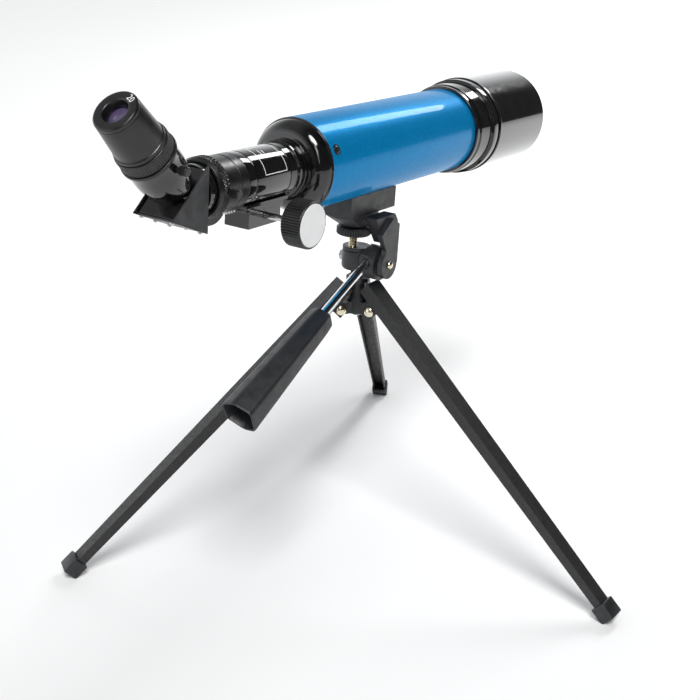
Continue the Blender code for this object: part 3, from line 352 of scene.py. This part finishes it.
FINISHES = {
    "blue_paint": metallic_blue(),
    "textured_black": powder_coat(),
    "lens_glass": coated_glass(),
    "gloss_black": plain_finish(
        "gloss_black", (0.004, 0.004, 0.0045), (0.008, 0.008, 0.009), 0.10, 0.03, 3.0, 0.0006,
        coat_weight=0.6, coat_roughness=0.04),
    "satin_black": plain_finish(
        "satin_black", (0.005, 0.005, 0.0055), (0.009, 0.009, 0.010), 0.34, 0.05, 0.35, 0.006,
        coat_weight=0.12, coat_roughness=0.15),
    "matt_grey": plain_finish(
        "matt_grey", (0.014, 0.0145, 0.016), (0.022, 0.023, 0.026), 0.42, 0.07, 0.45, 0.030),
    "white_disc": plain_finish(
        "white_disc", (0.90, 0.91, 0.92), (0.95, 0.95, 0.95), 0.42, 0.06, 0.5, 0.010),
    "chrome": plain_finish(
        "chrome", (0.80, 0.81, 0.83), (0.88, 0.88, 0.90), 0.07, 0.03, 2.5, 0.0004, metallic=1.0),
    "brass_nickel": plain_finish(
        "brass_nickel", (0.76, 0.68, 0.50), (0.83, 0.76, 0.60), 0.20, 0.06, 0.4, 0.006, metallic=1.0),
    "steel": plain_finish(
        "steel", (0.50, 0.50, 0.51), (0.62, 0.62, 0.63), 0.28, 0.08, 0.3, 0.006, metallic=1.0),
}


# ---------------------------------------------------------------- surfaces
def soft(outline, radius, closed=True, steps=4):
    """Each corner becomes a curve: (1-t)^2 * before + 2t(1-t) * corner + t^2 * after, t from 0 to 1."""
    corner = np.array(outline, float)
    before, after = np.roll(corner, 1, 0) - corner, np.roll(corner, -1, 0) - corner
    long_before, long_after = (np.linalg.norm(way, axis=1, keepdims=True) for way in (before, after))
    reach = np.minimum(np.reshape(radius, (-1, 1)), 0.46 * np.minimum(long_before, long_after))
    if not closed:
        reach[[0, -1]] = 0
    start, end = corner + before / long_before * reach, corner + after / long_after * reach
    t = np.linspace(0, 1, steps + 1).reshape(1, -1, 1)
    curve = (1 - t) ** 2 * start[:, None] + 2 * t * (1 - t) * corner[:, None] + t ** 2 * end[:, None]
    if not closed:
        return np.concatenate([corner[:1], curve[1:-1].reshape(-1, 2), corner[-1:]])
    return curve.reshape(-1, 2)


def finely(outline, step, closed=True):
    """The same line with points no further apart than step: places are read off against length along it."""
    line = np.vstack([outline, outline[:1]]) if closed else outline
    long = np.concatenate([[0], np.cumsum(np.linalg.norm(np.diff(line, axis=0), axis=1))])
    extra = np.arange(0, long[-1], step)
    marks = np.unique(np.round(np.concatenate([long, extra]), 5))
    if closed:
        marks = marks[:-1]
    return np.stack([np.interp(marks, long, line[:, i]) for i in range(2)], 1)


def quads(rows, columns, wrap_rows):
    """Corner numbers of the squares on a grid whose columns go right round, and whose rows may."""
    i, j = np.meshgrid(np.arange(rows if wrap_rows else rows - 1), np.arange(columns), indexing="ij")
    k, m = (i + 1) % rows, (j + 1) % columns
    return np.stack([i * columns + j, i * columns + m, k * columns + m, k * columns + j], -1).reshape(-1, 4)


def piece_from(name, points, faces, finish, sharp=32):
    """Merges doubles, turns every face outwards and smooths across edges flatter than sharp degrees."""
    mesh = bpy.data.meshes.new(name)
    mesh.from_pydata(points.reshape(-1, 3).tolist(), [], faces)
    work = bmesh.new()
    work.from_mesh(mesh)
    bmesh.ops.remove_doubles(work, verts=work.verts, dist=2e-7)
    bmesh.ops.recalc_face_normals(work, faces=work.faces)
    work.to_mesh(mesh)
    work.free()
    mesh.shade_smooth()
    mesh.set_sharp_from_angle(angle=math.radians(sharp))
    mesh.materials.append(FINISHES[finish])
    piece = bpy.data.objects.new(name, mesh)
    bpy.context.scene.collection.objects.link(piece)
    return piece


def skin(name, grid, finish, wrap_rows=False, sharp=32):
    """A closed surface over a grid of places: its columns wrap round, and its end rows are capped or meet."""
    rows, columns = grid.shape[:2]
    faces = quads(rows, columns, wrap_rows).tolist()
    if not wrap_rows:
        faces += [list(range(columns)), list(range((rows - 1) * columns, rows * columns))[::-1]]
    return piece_from(name, grid, faces, finish, sharp)


def turned(name, outline, place, finish, segments=128, corner=0.3, crest=None, step=None):
    """A lathe form: place(radius * cos t, radius * sin t, height); crest adds ribs or threads to radius."""
    closed = outline[0][0] > 0
    line = soft(outline, corner, closed)
    if step:
        line = finely(line, step, closed)
    angle = np.linspace(0, 2 * np.pi, segments, endpoint=False)[None]
    radius, height = line[:, :1], line[:, 1:]
    radius = radius + (crest(angle, height, radius) if crest else 0 * angle)
    grid = np.stack([radius * np.cos(angle), radius * np.sin(angle), height + 0 * angle], -1)
    if closed:
        return skin(name, place.put(grid), finish, True)
    rows, columns = grid.shape[:2]
    return piece_from(name, place.put(grid), quads(rows, columns, False).tolist(), finish)


def window(height, low, high, fade=0.35):
    """1 between two heights and 0 outside them, with a short ramp at each end."""
    return np.clip((height - low) / fade, 0, 1) * np.clip((high - height) / fade, 0, 1)


def ribs(count, depth, low, high, least_radius):
    """Upright ribs: depth * (0.5 + 0.5 * cos(count * angle)) ** 0.7 between two heights, outer wall only."""
    def crest(angle, height, radius):
        wave = (0.5 + 0.5 * np.cos(count * angle)) ** 0.7
        return -depth * (1 - wave) * window(height, low, high) * (radius > least_radius)
    return crest


def hatch(count, depth, low, high, least_radius, lean):
    """A diamond knurl: two families of sloped ribs, and the surface stands where both do."""
    def crest(angle, height, radius):
        one, two = (0.5 + 0.5 * np.cos(count * angle + way * lean * height) for way in (-1, 1))
        dip = 1 - np.minimum(one, two) ** 0.6
        return -depth * dip * window(height, low, high) * (radius > least_radius)
    return crest


def thread(pitch, depth, low, high, least_radius):
    """A screw thread: a triangle wave of height / pitch minus the share of a turn."""
    def crest(angle, height, radius):
        share = (height / pitch - angle / (2 * np.pi)) % 1.0
        return -depth * (1 - np.abs(2 * share - 1)) * window(height, low, high, 0.5) * (radius > least_radius)
    return crest


def inset(outline, distance):
    """A closed outline moved inwards: each point goes along the mean of its two edges' normals."""
    way = np.roll(outline, -1, 0) - outline
    way = way / np.linalg.norm(way, axis=1, keepdims=True)
    area = np.sum(outline[:, 0] * np.roll(outline[:, 1], -1) - outline[:, 1] * np.roll(outline[:, 0], -1))
    normal = np.stack([-way[:, 1], way[:, 0]], 1) * np.sign(area)
    middle = normal + np.roll(normal, 1, 0)
    return outline + middle * (2 * distance / np.sum(middle * middle, axis=1, keepdims=True))


def stack_rows(outline, low, high, edge, steps=4):
    """Levels of one outline from low to high; each end draws in along a quarter circle of radius edge."""
    turn = np.linspace(0, np.pi / 2, steps + 1)
    depth, drop = edge * (1 - np.sin(turn)), edge * (1 - np.cos(turn))
    rows = [np.column_stack([inset(outline, d), np.full(len(outline), low + h)]) for d, h in zip(depth, drop)]
    top = [np.column_stack([row[:, :2], low + high - row[:, 2]]) for row in rows[::-1]]
    return np.array(rows + top)


def plate(name, outline, low, high, place, finish, corner=0.5, edge=0.25):
    """A flat form: a rounded outline in the place's x and z, carried along its y, with eased edges."""
    grid = stack_rows(soft(outline, corner), low, high, edge)[:, :, [0, 2, 1]]
    piece = skin(name, place.put(grid), finish, sharp=40)
    even = piece.modifiers.new("even_normals", "WEIGHTED_NORMAL")
    even.keep_sharp = True
    return piece


def eased(name, node, finish, width=0.4):
    """A frame node's own form with its corners broken by a small round."""
    mesh = NODES[node].data.copy()
    mesh.name = name
    work = bmesh.new()
    work.from_mesh(mesh)
    bmesh.ops.remove_doubles(work, verts=work.verts, dist=5e-6)
    bmesh.ops.dissolve_limit(work, angle_limit=math.radians(1), verts=work.verts, edges=work.edges)
    bmesh.ops.recalc_face_normals(work, faces=work.faces)
    work.to_mesh(mesh)
    work.free()
    mesh.materials.clear()
    mesh.materials.append(FINISHES[finish])
    mesh.shade_smooth()
    mesh.set_sharp_from_angle(angle=math.radians(32))
    piece = bpy.data.objects.new(name, mesh)
    bpy.context.scene.collection.objects.link(piece)
    bevel = piece.modifiers.new("broken_edges", "BEVEL")
    bevel.width, bevel.segments = width * MM, 2
    bevel.limit_method, bevel.angle_limit = "ANGLE", math.radians(32)
    bevel.harden_normals = True
    return piece


def stand_for(piece, *nodes):
    """The piece rides with the first node's body and is shown in place of them all."""
    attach(piece, NODES[nodes[0]]["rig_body"])
    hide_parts(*nodes)


def trim(piece, node):
    """A small extra on a node's surface."""
    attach(piece, NODES[node]["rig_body"])


# ---------------------------------------------------------------- tube and objective
def tube_pieces():
    low, high = extent("main_tube", TUBE)
    outer, rear, front = high[0], low[2], high[2]
    inner = outer - 1
    outline = [(outer, rear), (outer, front), (inner, front), (inner, rear)]
    tube = turned("blue_tube", outline, TUBE, "blue_paint", 192, 0.25)
    stand_for(tube, "main_tube")
    for number in (1, 2, 3):
        tube_screw(number, outer)


def tube_screw(number, tube_radius):
    """A domed head with a dimple, sunk in a dark ring on the tube: the ring is painted shade standing for the
    recess round the head.
    """
    low, high = extent(f"tube_screw_{number}", TUBE)
    middle = (low + high) / 2
    out = math.atan2(middle[1], middle[0])
    way = (math.cos(out), math.sin(out), 0)
    place = TUBE.shifted(0, 0, middle[2]).turned_to((0, 0, 1), way)
    base = tube_radius - 0.3
    low_edge = base - 0.4
    # A gloss black ring: painted shade standing for the shaded recess round the screw head.
    ring = turned(
        f"tube_screw_shade_ring_{number}", [(3.5, low_edge), (3.5, base + 0.42), (2.9, base + 0.5),
        (2.7, low_edge)],
        place, "gloss_black", 48, 0.12)
    trim(ring, f"tube_screw_{number}")
    head = turned(
        f"tube_screw_head_{number}",
        [(0, base + 0.3), (0.7, base + 0.35), (1.0, base + 1.1), (1.9, base + 0.9), (2.6, base + 0.45),
         (2.6, low_edge), (0, low_edge)],
        place, "satin_black", 48, 0.2)
    stand_for(head, f"tube_screw_{number}")


def objective_pieces():
    low, high = extent("objective_cell", TUBE)
    shoulder_r, tube_end = high[0], extent("main_tube", TUBE)[1][2]
    cell_r, front = 33.0, tube_end + 30
    spigot = 32.2
    cell = turned("objective_barrel", [
        (30.05, tube_end - 0.2), (31.7, tube_end - 0.2), (32.1, tube_end + 0.6),
        (32.1, tube_end + 3.6), (cell_r, tube_end + 5),
        (cell_r, front - 9.2), (shoulder_r, front - 8.6), (shoulder_r, front - 2), (spigot, front - 1.5),
        (spigot, high[2]), (28.3, high[2]), (26.8, front), (25.3, front), (25.3, tube_end + 15),
        (23.3, tube_end + 15), (23.3, tube_end + 13), (26.9, tube_end - 7.5), (28.7, low[2]),
        (28.7, tube_end - 0.4),
    ], TUBE, "gloss_black", 192, 0.5)
    stand_for(cell, "objective_cell")
    low, high = extent("dew_shield", TUBE)
    outer, rear, front = high[0], low[2], high[2]
    shield = turned("dew_shield_hood", [
        (32.5, rear), (outer - 0.5, rear), (outer, rear + 0.5), (outer, rear + 2.2),
        (outer - 0.5, rear + 3),
        (outer - 0.45, front - 1.1), (outer - 0.9, front - 0.2), (outer - 1.5, front), (33.1, front),
        (32.5, front - 1.2),
    ], TUBE, "gloss_black", 192, 0.35)
    stand_for(shield, "dew_shield")
    for node, bow_low, bow_high in (("crown_lens", -0.4, 1.7), ("flint_lens", 1.0, -1.4)):
        lens_piece(node, TUBE, bow_low, bow_high)
    low, high = extent("lens_retainer", TUBE)
    retainer = turned("lens_retaining_ring", [
        (high[0], low[2]), (high[0], high[2]), (high[0] - 2.2, high[2]), (high[0] - 2.2, low[2]),
    ], TUBE, "satin_black", 192, 0.25, thread(0.8, 0.2, low[2], high[2], 99))
    stand_for(retainer, "lens_retainer")


def lens_piece(node, place, rear_sag, front_sag):
    """Both faces are shallow bowls: height = rim + sag * (1 - (radius / rim radius) ** 2)."""
    low, high = extent(node, place)
    rim = high[1]
    bottom, top = low[2] + max(rear_sag, 0), high[2] - max(front_sag, 0)
    radius = np.linspace(0, rim, 14)
    bow = 1 - (radius / rim) ** 2
    front = np.column_stack([radius, top + front_sag * bow])
    rear = np.column_stack([radius, bottom - rear_sag * bow])[::-1]
    lens = turned(f"{node}_glass", np.concatenate([front, rear]).tolist(), place, "lens_glass", 96, 0.05)
    stand_for(lens, node)


# ---------------------------------------------------------------- focuser
def focuser_pieces():
    low, high = extent("focuser_body", TUBE)
    rim, housing = extent("main_tube", TUBE)[1][0], 16.9
    tail, neck, collar = low[2], -10.15, 18.2
    turn = np.radians(np.linspace(0, 90, 12))
    bulge = np.column_stack([
        collar + (rim - 0.9 - collar) * np.cos(turn) ** 0.8, -1.4 - 8.75 * np.sin(turn) ** 1.3])
    outline = [
        (26.3, high[2]), (28.7, high[2]), (28.7, -0.3), (rim + 0.1, -0.3), (rim + 0.1, -0.9),
        (rim - 0.9, -1.2),
        *bulge.tolist()[1:], (collar, neck - 3.4), (collar - 0.35, neck - 3.7), (collar - 0.35, neck - 4.2),
        (collar, neck - 4.5), (collar, neck - 9.6), (housing, neck - 10.4), (housing, -27.0),
        (housing - 0.3, -27.3),
        (housing - 0.3, -27.8), (housing, -28.1), (housing, tail + 7.6), (housing - 0.3, tail + 7.3),
        (housing - 0.3, tail + 6.8), (housing, tail + 6.5), (housing, tail), (15.3, tail),
        (15.3, neck), (26.3, -0.5),
    ]
    body = turned("focuser_barrel", outline, TUBE, "gloss_black", 192, 0.3)
    stand_for(body, "focuser_body")
    ledge = [(tail + 2, -15), (-24, -15), (-24, -12.6), (tail + 2, -12.6)]
    seat = plate("focuser_seat", ledge, -13, 13, OPTICS, "gloss_black", 0.5, 0.4)
    trim(seat, "focuser_body")
    under = [(tail + 6, -18.6), (-25, -18.6), (-25, -13.8), (tail + 6, -13.8)]
    pad = plate("focuser_pad", under, -10.5, 10.5, OPTICS, "gloss_black", 0.8, 0.4)
    trim(pad, "focuser_body")
    printed_box(housing)


def band(name, start, end, first, last, radius, finish="white_disc", height=0.05):
    """A thin patch on the focuser barrel: place(radius * cos t, radius * sin t, z) in a range of t and z."""
    angle = np.radians(np.linspace(first, last, max(3, int(abs(last - first) / 2) + 2)))
    ring = []
    for r, z in ((radius - 0.1, start), (radius + height, start), (radius + height, end),
    (radius - 0.1, end)):
        ring.append(np.column_stack([r * np.cos(angle), r * np.sin(angle), np.full(len(angle), z)]))
    grid = np.stack(ring, 1)
    return skin(name, TUBE.put(grid), finish)


def printed_box(radius):
    """A white frame and two short dashes printed round the barrel, on the near upper side."""
    start, end, low, high, line = -53.0, -31.2, 76.5, 2.0, 0.5
    wide = math.degrees(line / radius)
    parts = (
        ("print_rear", start, start + line, low, high), ("print_front", end - line, end, low, high),
        ("print_lower", start, end, low, low - wide), ("print_upper", start, end, high + wide, high),
        ("print_dash_long", -47.5, -46.8, 34, 16), ("print_dash_short", -44.6, -43.9, 30, 18),
    )
    for name, first, last, one, two in parts:
        trim(band(name, first, last, one, two, radius), "focuser_body")


def pinion_pieces():
    cover = eased("pinion_box", "pinion_cover", "gloss_black", 0.7)
    stand_for(cover, "pinion_cover")
    for number in (1, 2):
        head = eased(f"pinion_box_screw_{number}", f"pinion_cover_screw_{number}", "steel", 0.15)
        stand_for(head, f"pinion_cover_screw_{number}")
    for name, node, way in (("near", "focus_knob_near", -1), ("far", "focus_knob_far", 1)):
        place = SHAFT.turned_to((0, 0, 1), (0, way, 0))
        low, high = extent(node, place)
        rim, back, face = high[0], low[2], extent(f"knob_face_{name}", place)[1][2]
        knob = turned(f"focus_wheel_{name}", [
            (2.4, back), (rim - 1.4, back), (rim, back + 1.4), (rim, face - 1.3), (rim - 0.7, face - 0.35),
            (rim - 1.25, face - 0.3), (rim - 1.25, face - 1.6), (2.4, face - 1.6),
        ], place, "satin_black", 540, 0.35, ribs(54, 0.5, back + 0.9, face - 0.9, rim - 1), 0.8)
        stand_for(knob, node)
        disc_r = rim - 1.5
        disc = turned(f"focus_wheel_face_{name}", [
            (0, face - 1.3), (disc_r, face - 1.3), (disc_r, face - 0.15), (disc_r - 0.4, face),
            (disc_r * 0.5, face - 0.02), (0, face - 0.02),
        ], place, "white_disc", 128, 0.2)
        stand_for(disc, f"knob_face_{name}")
    shaft = eased("pinion", "pinion_shaft", "steel", 0.1)
    stand_for(shaft, "pinion_shaft")


def drawtube_pieces():
    low, high = extent("drawtube", TUBE)
    tube = turned("draw_tube", [
        (high[0], low[2]), (high[0], high[2]), (high[0] - 1.4, high[2]), (high[0] - 1.4, low[2]),
    ], TUBE, "satin_black", 128, 0.2)
    stand_for(tube, "drawtube")
    low, high = extent("drawtube_collar", TUBE)
    rear, front, ring_r, barrel = low[2], high[2], 18.1, 16.9
    edge = rear + 8.4
    collar = turned("draw_tube_collar", [
        (barrel, front), (barrel, edge + 12.2), (barrel - 0.35, edge + 11.9),
        (barrel - 0.35, edge + 11.3), (barrel, edge + 11),
        (barrel, edge), (ring_r - 0.3, edge), (ring_r, edge - 0.5),
        (ring_r, edge - 6.4), (ring_r - 1.2, rear), (15.4, rear), (15.4, rear + 4.4), (12.5, rear + 4.4),
        (12.5, edge + 2), (15.3, edge + 2.1), (15.3, front),
    ], TUBE, "satin_black", 600, 0.25, hatch(48, 0.8, edge - 6.3, edge - 0.6, ring_r - 1, 3.2), 0.35)
    stand_for(collar, "drawtube_collar")
    thumb_head("nose_thumbscrew", "nose_screw_turn")


def thumb_head(node, joint):
    """A small thumbscrew: a plain shank and a ribbed head with rounded rims."""
    place = Place(joint_point(joint), AHEAD, SIDE, ABOVE).turned_to((0, 0, 1), (0, -1, 0))
    low, high = extent(node, place)
    head, tip, end = 2.7, low[2], high[2]
    start = end - (6.6 if node.startswith("nose") else 6.0)
    screw = turned(f"{node}_turned", [
        (0, tip), (1.35, tip), (1.35, start), (2.0, start), (head, start + 0.8), (head, end - 0.6),
        (2.2, end), (0, end),
    ], place, "satin_black", 192, 0.3, ribs(24, 0.28, start + 0.7, end - 0.5, head - 0.4), 0.35)
    stand_for(screw, node)


# ---------------------------------------------------------------- diagonal and eyepiece
def diagonal_pieces():
    near = extent("diagonal_plate_near", OPTICS)
    far = extent("diagonal_plate_far", OPTICS)
    front, back, top, bottom = near[1][0], near[0][0], near[1][2], near[0][2]
    triangle = [(front, top), (back, -10.2), (front, bottom)]
    for name, (low, high) in (("near", near), ("far", far)):
        cheek = plate(f"diagonal_cheek_{name}", triangle, low[1], high[1], OPTICS, "matt_grey", 0.5, 0.3)
        stand_for(cheek, f"diagonal_plate_{name}")
    half = far[0][1] - 0.3
    core = inset(np.array(triangle), 1.5)
    body = plate("diagonal_core", core.tolist(), -half, half, OPTICS, "gloss_black", 0.6, 0.3)
    stand_for(body, "diagonal_housing")
    neck_end = extent("eyepiece_socket", EYE)[0][2] - 0.3
    socket_r = extent("eyepiece_socket", EYE)[1][1]
    height = np.linspace(2, neck_end, 26)
    share = (height - 2) / (neck_end - 2)
    swell = 12.2 + (socket_r - 13.0) * share ** 1.15 + 1.3 * np.sin(np.pi * share) ** 2
    line = np.column_stack([swell, height]).tolist()
    neck = turned("diagonal_elbow", [
        (0, 2), *line, (12.6, neck_end), (12.6, 16), (9, 16), (9, 5),
        (0, 5)], EYE, "gloss_black", 160, 0.25)
    trim(neck, "diagonal_housing")
    base = eased("diagonal_sole", "diagonal_base_plate", "matt_grey", 0.25)
    stand_for(base, "diagonal_base_plate")
    sole_screws(triangle)
    nose = extent("diagonal_nosepiece", TUBE)
    collar_r = 15.0
    tube = turned("diagonal_nose", [
        (collar_r, nose[0][2]), (collar_r, nose[1][2] - 9.6), (12.2, nose[1][2] - 9.6), (12.2, nose[1][2]),
        (10.6, nose[1][2]), (10.6, nose[0][2]),
    ], TUBE, "gloss_black", 128, 0.25)
    stand_for(tube, "diagonal_nosepiece")
    prism = eased("diagonal_prism_glass", "diagonal_prism", "lens_glass", 0.3)
    stand_for(prism, "diagonal_prism")


def sole_screws(triangle):
    """Pan heads along both long edges of the sole: near each corner and, on the two edges, at the middle."""
    back, corner = np.array(triangle[1]), np.array(triangle[2])
    along = (corner - back) / np.linalg.norm(corner - back)
    down = np.array([along[1], -along[0]])
    near = extent("base_screw_1", OPTICS)
    side_y = (near[0][1] + near[1][1]) / 2
    for number, share in ((1, 0.12), (2, 0.9), (3, 0.5)):
        spot = back + (corner - back) * share + down * 0.25
        for side, y in (("near", side_y), ("far", -side_y)):
            place = OPTICS.shifted(spot[0], y, spot[1]).turned_to((0, 1, 0), (down[0], 0, down[1]))
            head = turned(f"sole_screw_{number}_{side}", [
                (0, 1.15), (0.8, 1.0), (1.35, 0.45), (1.4, -0.6), (0, -0.6)], place, "steel", 40, 0.3)
            if side == "near" and number < 3:
                stand_for(head, f"base_screw_{number}")
            else:
                trim(head, "diagonal_base_plate")


def eyepiece_pieces():
    low, high = extent("eyepiece_socket", EYE)
    socket_r = high[1]
    socket = turned("eyepiece_collar", [
        (12.5, low[2]), (socket_r - 0.5, low[2]), (socket_r, low[2] + 0.5), (socket_r, high[2] - 0.3),
        (socket_r - 0.3, high[2]), (12.5, high[2]),
    ], EYE, "satin_black", 160, 0.2)
    stand_for(socket, "eyepiece_socket")
    thumb_head("eyepiece_thumbscrew", "eyepiece_screw_turn")
    low, high = extent("eyepiece_tube", EYE)
    outer, inner = high[1], high[1] - 1
    outline = [(outer, low[2]), (outer, high[2]), (inner, high[2]), (inner, low[2])]
    barrel = turned("eyepiece_barrel", outline, EYE, "chrome", 128, 0.2)
    stand_for(barrel, "eyepiece_tube")
    low, high = extent("eyepiece_grip_ring", EYE)
    grip_r, grip_low, grip_high = high[1], low[2], high[2]
    grip = turned("eyepiece_grip", [
        (12.5, grip_low), (grip_r - 0.5, grip_low), (grip_r, grip_low + 0.5),
        (grip_r, grip_high - 0.5), (grip_r - 0.5, grip_high), (12.5, grip_high),
    ], EYE, "satin_black", 560, 0.25, ribs(70, 0.42, grip_low + 0.5, grip_high - 0.5, grip_r - 0.7), 0.5)
    stand_for(grip, "eyepiece_grip_ring")
    top, top_r = extent("eyepiece_body", EYE)[1][2], 13.2
    start = grip_high + 0.3
    body = turned("eyepiece_shell", [
        (top_r - 0.9, top), (top_r, top - 0.9), (top_r + 0.02, top - 2.2), (top_r - 0.22, top - 2.45),
        (top_r - 0.2, top - 2.85),
        (top_r + 0.08, top - 3.1), (14.7, start + 2.7), (14.5, start + 2.4), (15.35, start + 1.9),
        (15.35, start), (12.5, start),
        (12.5, start + 4.7), (9.6, start + 4.9),
        (9.6, top - 5.6), (6.4, top - 5.4), (6.4, top - 3.6), (7.4, top - 0.7), (8.0, top - 0.15),
    ], EYE, "satin_black", 160, 0.35)
    stand_for(body, "eyepiece_body")
    lens_piece("eye_lens", EYE, 0.2, 0.5)
    lens_piece("field_lens", EYE, 0.3, 1.2)
    power_mark(top)


def power_mark(top):
    """The eyepiece's power, printed in figures on its top face."""
    words = bpy.data.curves.new("power_figures", "FONT")
    words.body = "20"
    words.size = 5.0 * MM
    words.extrude = 0.04 * MM
    words.align_x, words.align_y = "CENTER", "CENTER"
    words.resolution_u = 6
    source = bpy.data.objects.new("power_figures_curve", words)
    bpy.context.scene.collection.objects.link(source)
    bpy.context.view_layer.update()
    mesh = bpy.data.meshes.new_from_object(source.evaluated_get(bpy.context.evaluated_depsgraph_get()))
    bpy.data.objects.remove(source)
    turn = math.radians(31)
    out = np.array([math.cos(turn), -math.sin(turn), 0])
    across = np.array([-math.sin(turn), -math.cos(turn), 0])
    points = np.empty(len(mesh.vertices) * 3, np.float32)
    mesh.vertices.foreach_get("co", points)
    points = points.reshape(-1, 3) / MM
    along, up, height = points[:, :1], points[:, 1:2], points[:, 2:]
    placed = out * 10.0 + along * across + up * out + height * [0, 0, 1] + [0, 0, top + 0.01]
    mesh.vertices.foreach_set("co", EYE.put(placed).astype(np.float32).ravel())
    mesh.name = "power_figures"
    mesh.materials.clear()
    mesh.materials.append(FINISHES["white_disc"])
    figures = bpy.data.objects.new("power_figures", mesh)
    bpy.context.scene.collection.objects.link(figures)
    trim(figures, "eyepiece_body")


# ---------------------------------------------------------------- mount block, stud and head
def clamp_pieces():
    stand_for(eased("saddle_block", "mount_block", "matt_grey", 0.7), "mount_block")
    low, high = extent("stud_screw", STUD)
    radius = high[1]
    stud = turned("camera_stud", [
        (0, high[2]), (radius - 0.7, high[2]), (radius, high[2] - 0.8), (radius, low[2]), (0, low[2])],
        STUD, "brass_nickel", 96, 0.15, thread(1.1, 0.5, low[2], high[2], radius - 0.6), 0.22)
    stand_for(stud, "stud_screw")
    low, high = extent("lock_ring", STUD)
    outer = high[1]
    nut = turned("clamp_ring", [
        (3.5, low[2]), (outer - 1.1, low[2]), (outer, low[2] + 0.9), (outer, high[2] - 0.9),
        (outer - 1.0, high[2]), (3.5, high[2]),
    ], STUD, "matt_grey", 320, 0.5, ribs(40, 0.75, low[2] + 0.5, high[2] - 0.5, outer - 1.4), 0.4)
    stand_for(nut, "lock_ring")
    stand_for(eased("camera_rest", "camera_plate", "matt_grey", 0.35), "camera_plate")
    stand_for(eased("head_drum", "tilt_head", "matt_grey", 0.5), "tilt_head")
    stand_for(eased("head_arm", "tilt_arm", "matt_grey", 0.45), "tilt_arm")
    stand_for(eased("head_nut", "tilt_nut", "steel", 0.25), "tilt_nut")
    stand_for(eased("swivel", "pan_base", "matt_grey", 0.5), "pan_base")
    stand_for(eased("leg_crown", "tripod_hub", "matt_grey", 0.4), "tripod_hub")
    stand_for(eased("swivel_screw", "pan_screw", "steel", 0.25), "pan_screw")
    bolt_head()


def bolt_head():
    """A domed bolt head with a rolled edge, on the outer face of the arm."""
    place = TILT.turned_to((0, 0, 1), (0, -1, 0))
    low, high = extent("tilt_bolt", place)
    top, seat = high[2], high[2] - 2
    bolt = turned("head_bolt", [
        (0, top), (1.0, top - 0.05), (1.9, top - 0.45), (2.6, top - 1.1), (2.9, seat + 0.2),
        (2.9, seat), (2.0, seat),
        (2.0, low[2]), (0, low[2])], place, "brass_nickel", 96, 0.3)
    stand_for(bolt, "tilt_bolt")


# ---------------------------------------------------------------- handle
def handle_pieces():
    low, high = extent("handle_rod", HANDLE)
    radius = high[1]
    rod = turned("handle_bar", [
        (0, low[2]), (radius - 0.4, low[2]), (radius, low[2] + 0.4), (radius, high[2] - 0.4),
        (radius - 0.4, high[2]), (0, high[2])],
        HANDLE, "chrome", 96, 0.2)
    stand_for(rod, "handle_rod")
    handle_sleeve()


def handle_sleeve():
    """A rounded six-sided outline, scaled at each station, runs down outside, over the lip and up the bore."""
    low, high = extent("handle_grip", HANDLE)
    start, end = low[2], high[2]
    outline = soft([(9.2, 1.4), (5.6, 10.8), (-6.2, 10.6), (-11.8, -1.4), (-10.6, -9.6),
        (4.6, -10.6)], 2.6, steps=8)
    stations = [
        (start, 0.62), (start + 0.35, 0.69), (start + 1.2, 0.72), (start + 8, 0.775), (end - 1.2, 1.075),
        (end - 0.3, 1.06), (end, 1.035), (end, 0.985), (end - 0.5, 0.955), (start + 30, 0.62),
        (start + 14, 0.56), (start + 14, 0.3),
    ]
    rows = [np.column_stack([outline * scale, np.full(len(outline), z)]) for z, scale in stations]
    sleeve = skin("handle_sleeve", HANDLE.put(np.array(rows)), "matt_grey")
    stand_for(sleeve, "handle_grip")


# ---------------------------------------------------------------- legs
def leg_pieces(number, side):
    place = leg_place(side)
    stand_for(eased(f"leg_channel_{side}", f"leg_{number}", "textured_black", 0.45), f"leg_{number}")
    stand_for(eased(f"foot_shoe_{side}", f"foot_cap_{number}", "matt_grey", 0.6), f"foot_cap_{number}")
    across = place.turned_to((0, 0, 1), (0, 1, 0))
    low, high = extent(f"leg_rivet_{number}", across)
    out, seat = high[2], high[2] - 2.3
    half = [
        (0, out), (1.2, out - 0.1), (2.5, out - 0.6), (3.5, out - 1.4), (3.9, seat + 0.1),
        (3.9, seat), (1.9, seat)]
    rivet = turned(
        f"leg_pin_{side}", half + [(r, -z) for r, z in half[::-1]], across, "brass_nickel", 72, 0.35)
    stand_for(rivet, f"leg_rivet_{number}")


tube_pieces()
objective_pieces()
focuser_pieces()
pinion_pieces()
drawtube_pieces()
diagonal_pieces()
eyepiece_pieces()
clamp_pieces()
handle_pieces()
for index, leg_side in enumerate(LEG_SIDES):
    leg_pieces(index + 1, leg_side)

for node_name, node in NODES.items():
    node.data.materials.clear()
    node.data.materials.append(FINISHES[SLOTS[node_name]])
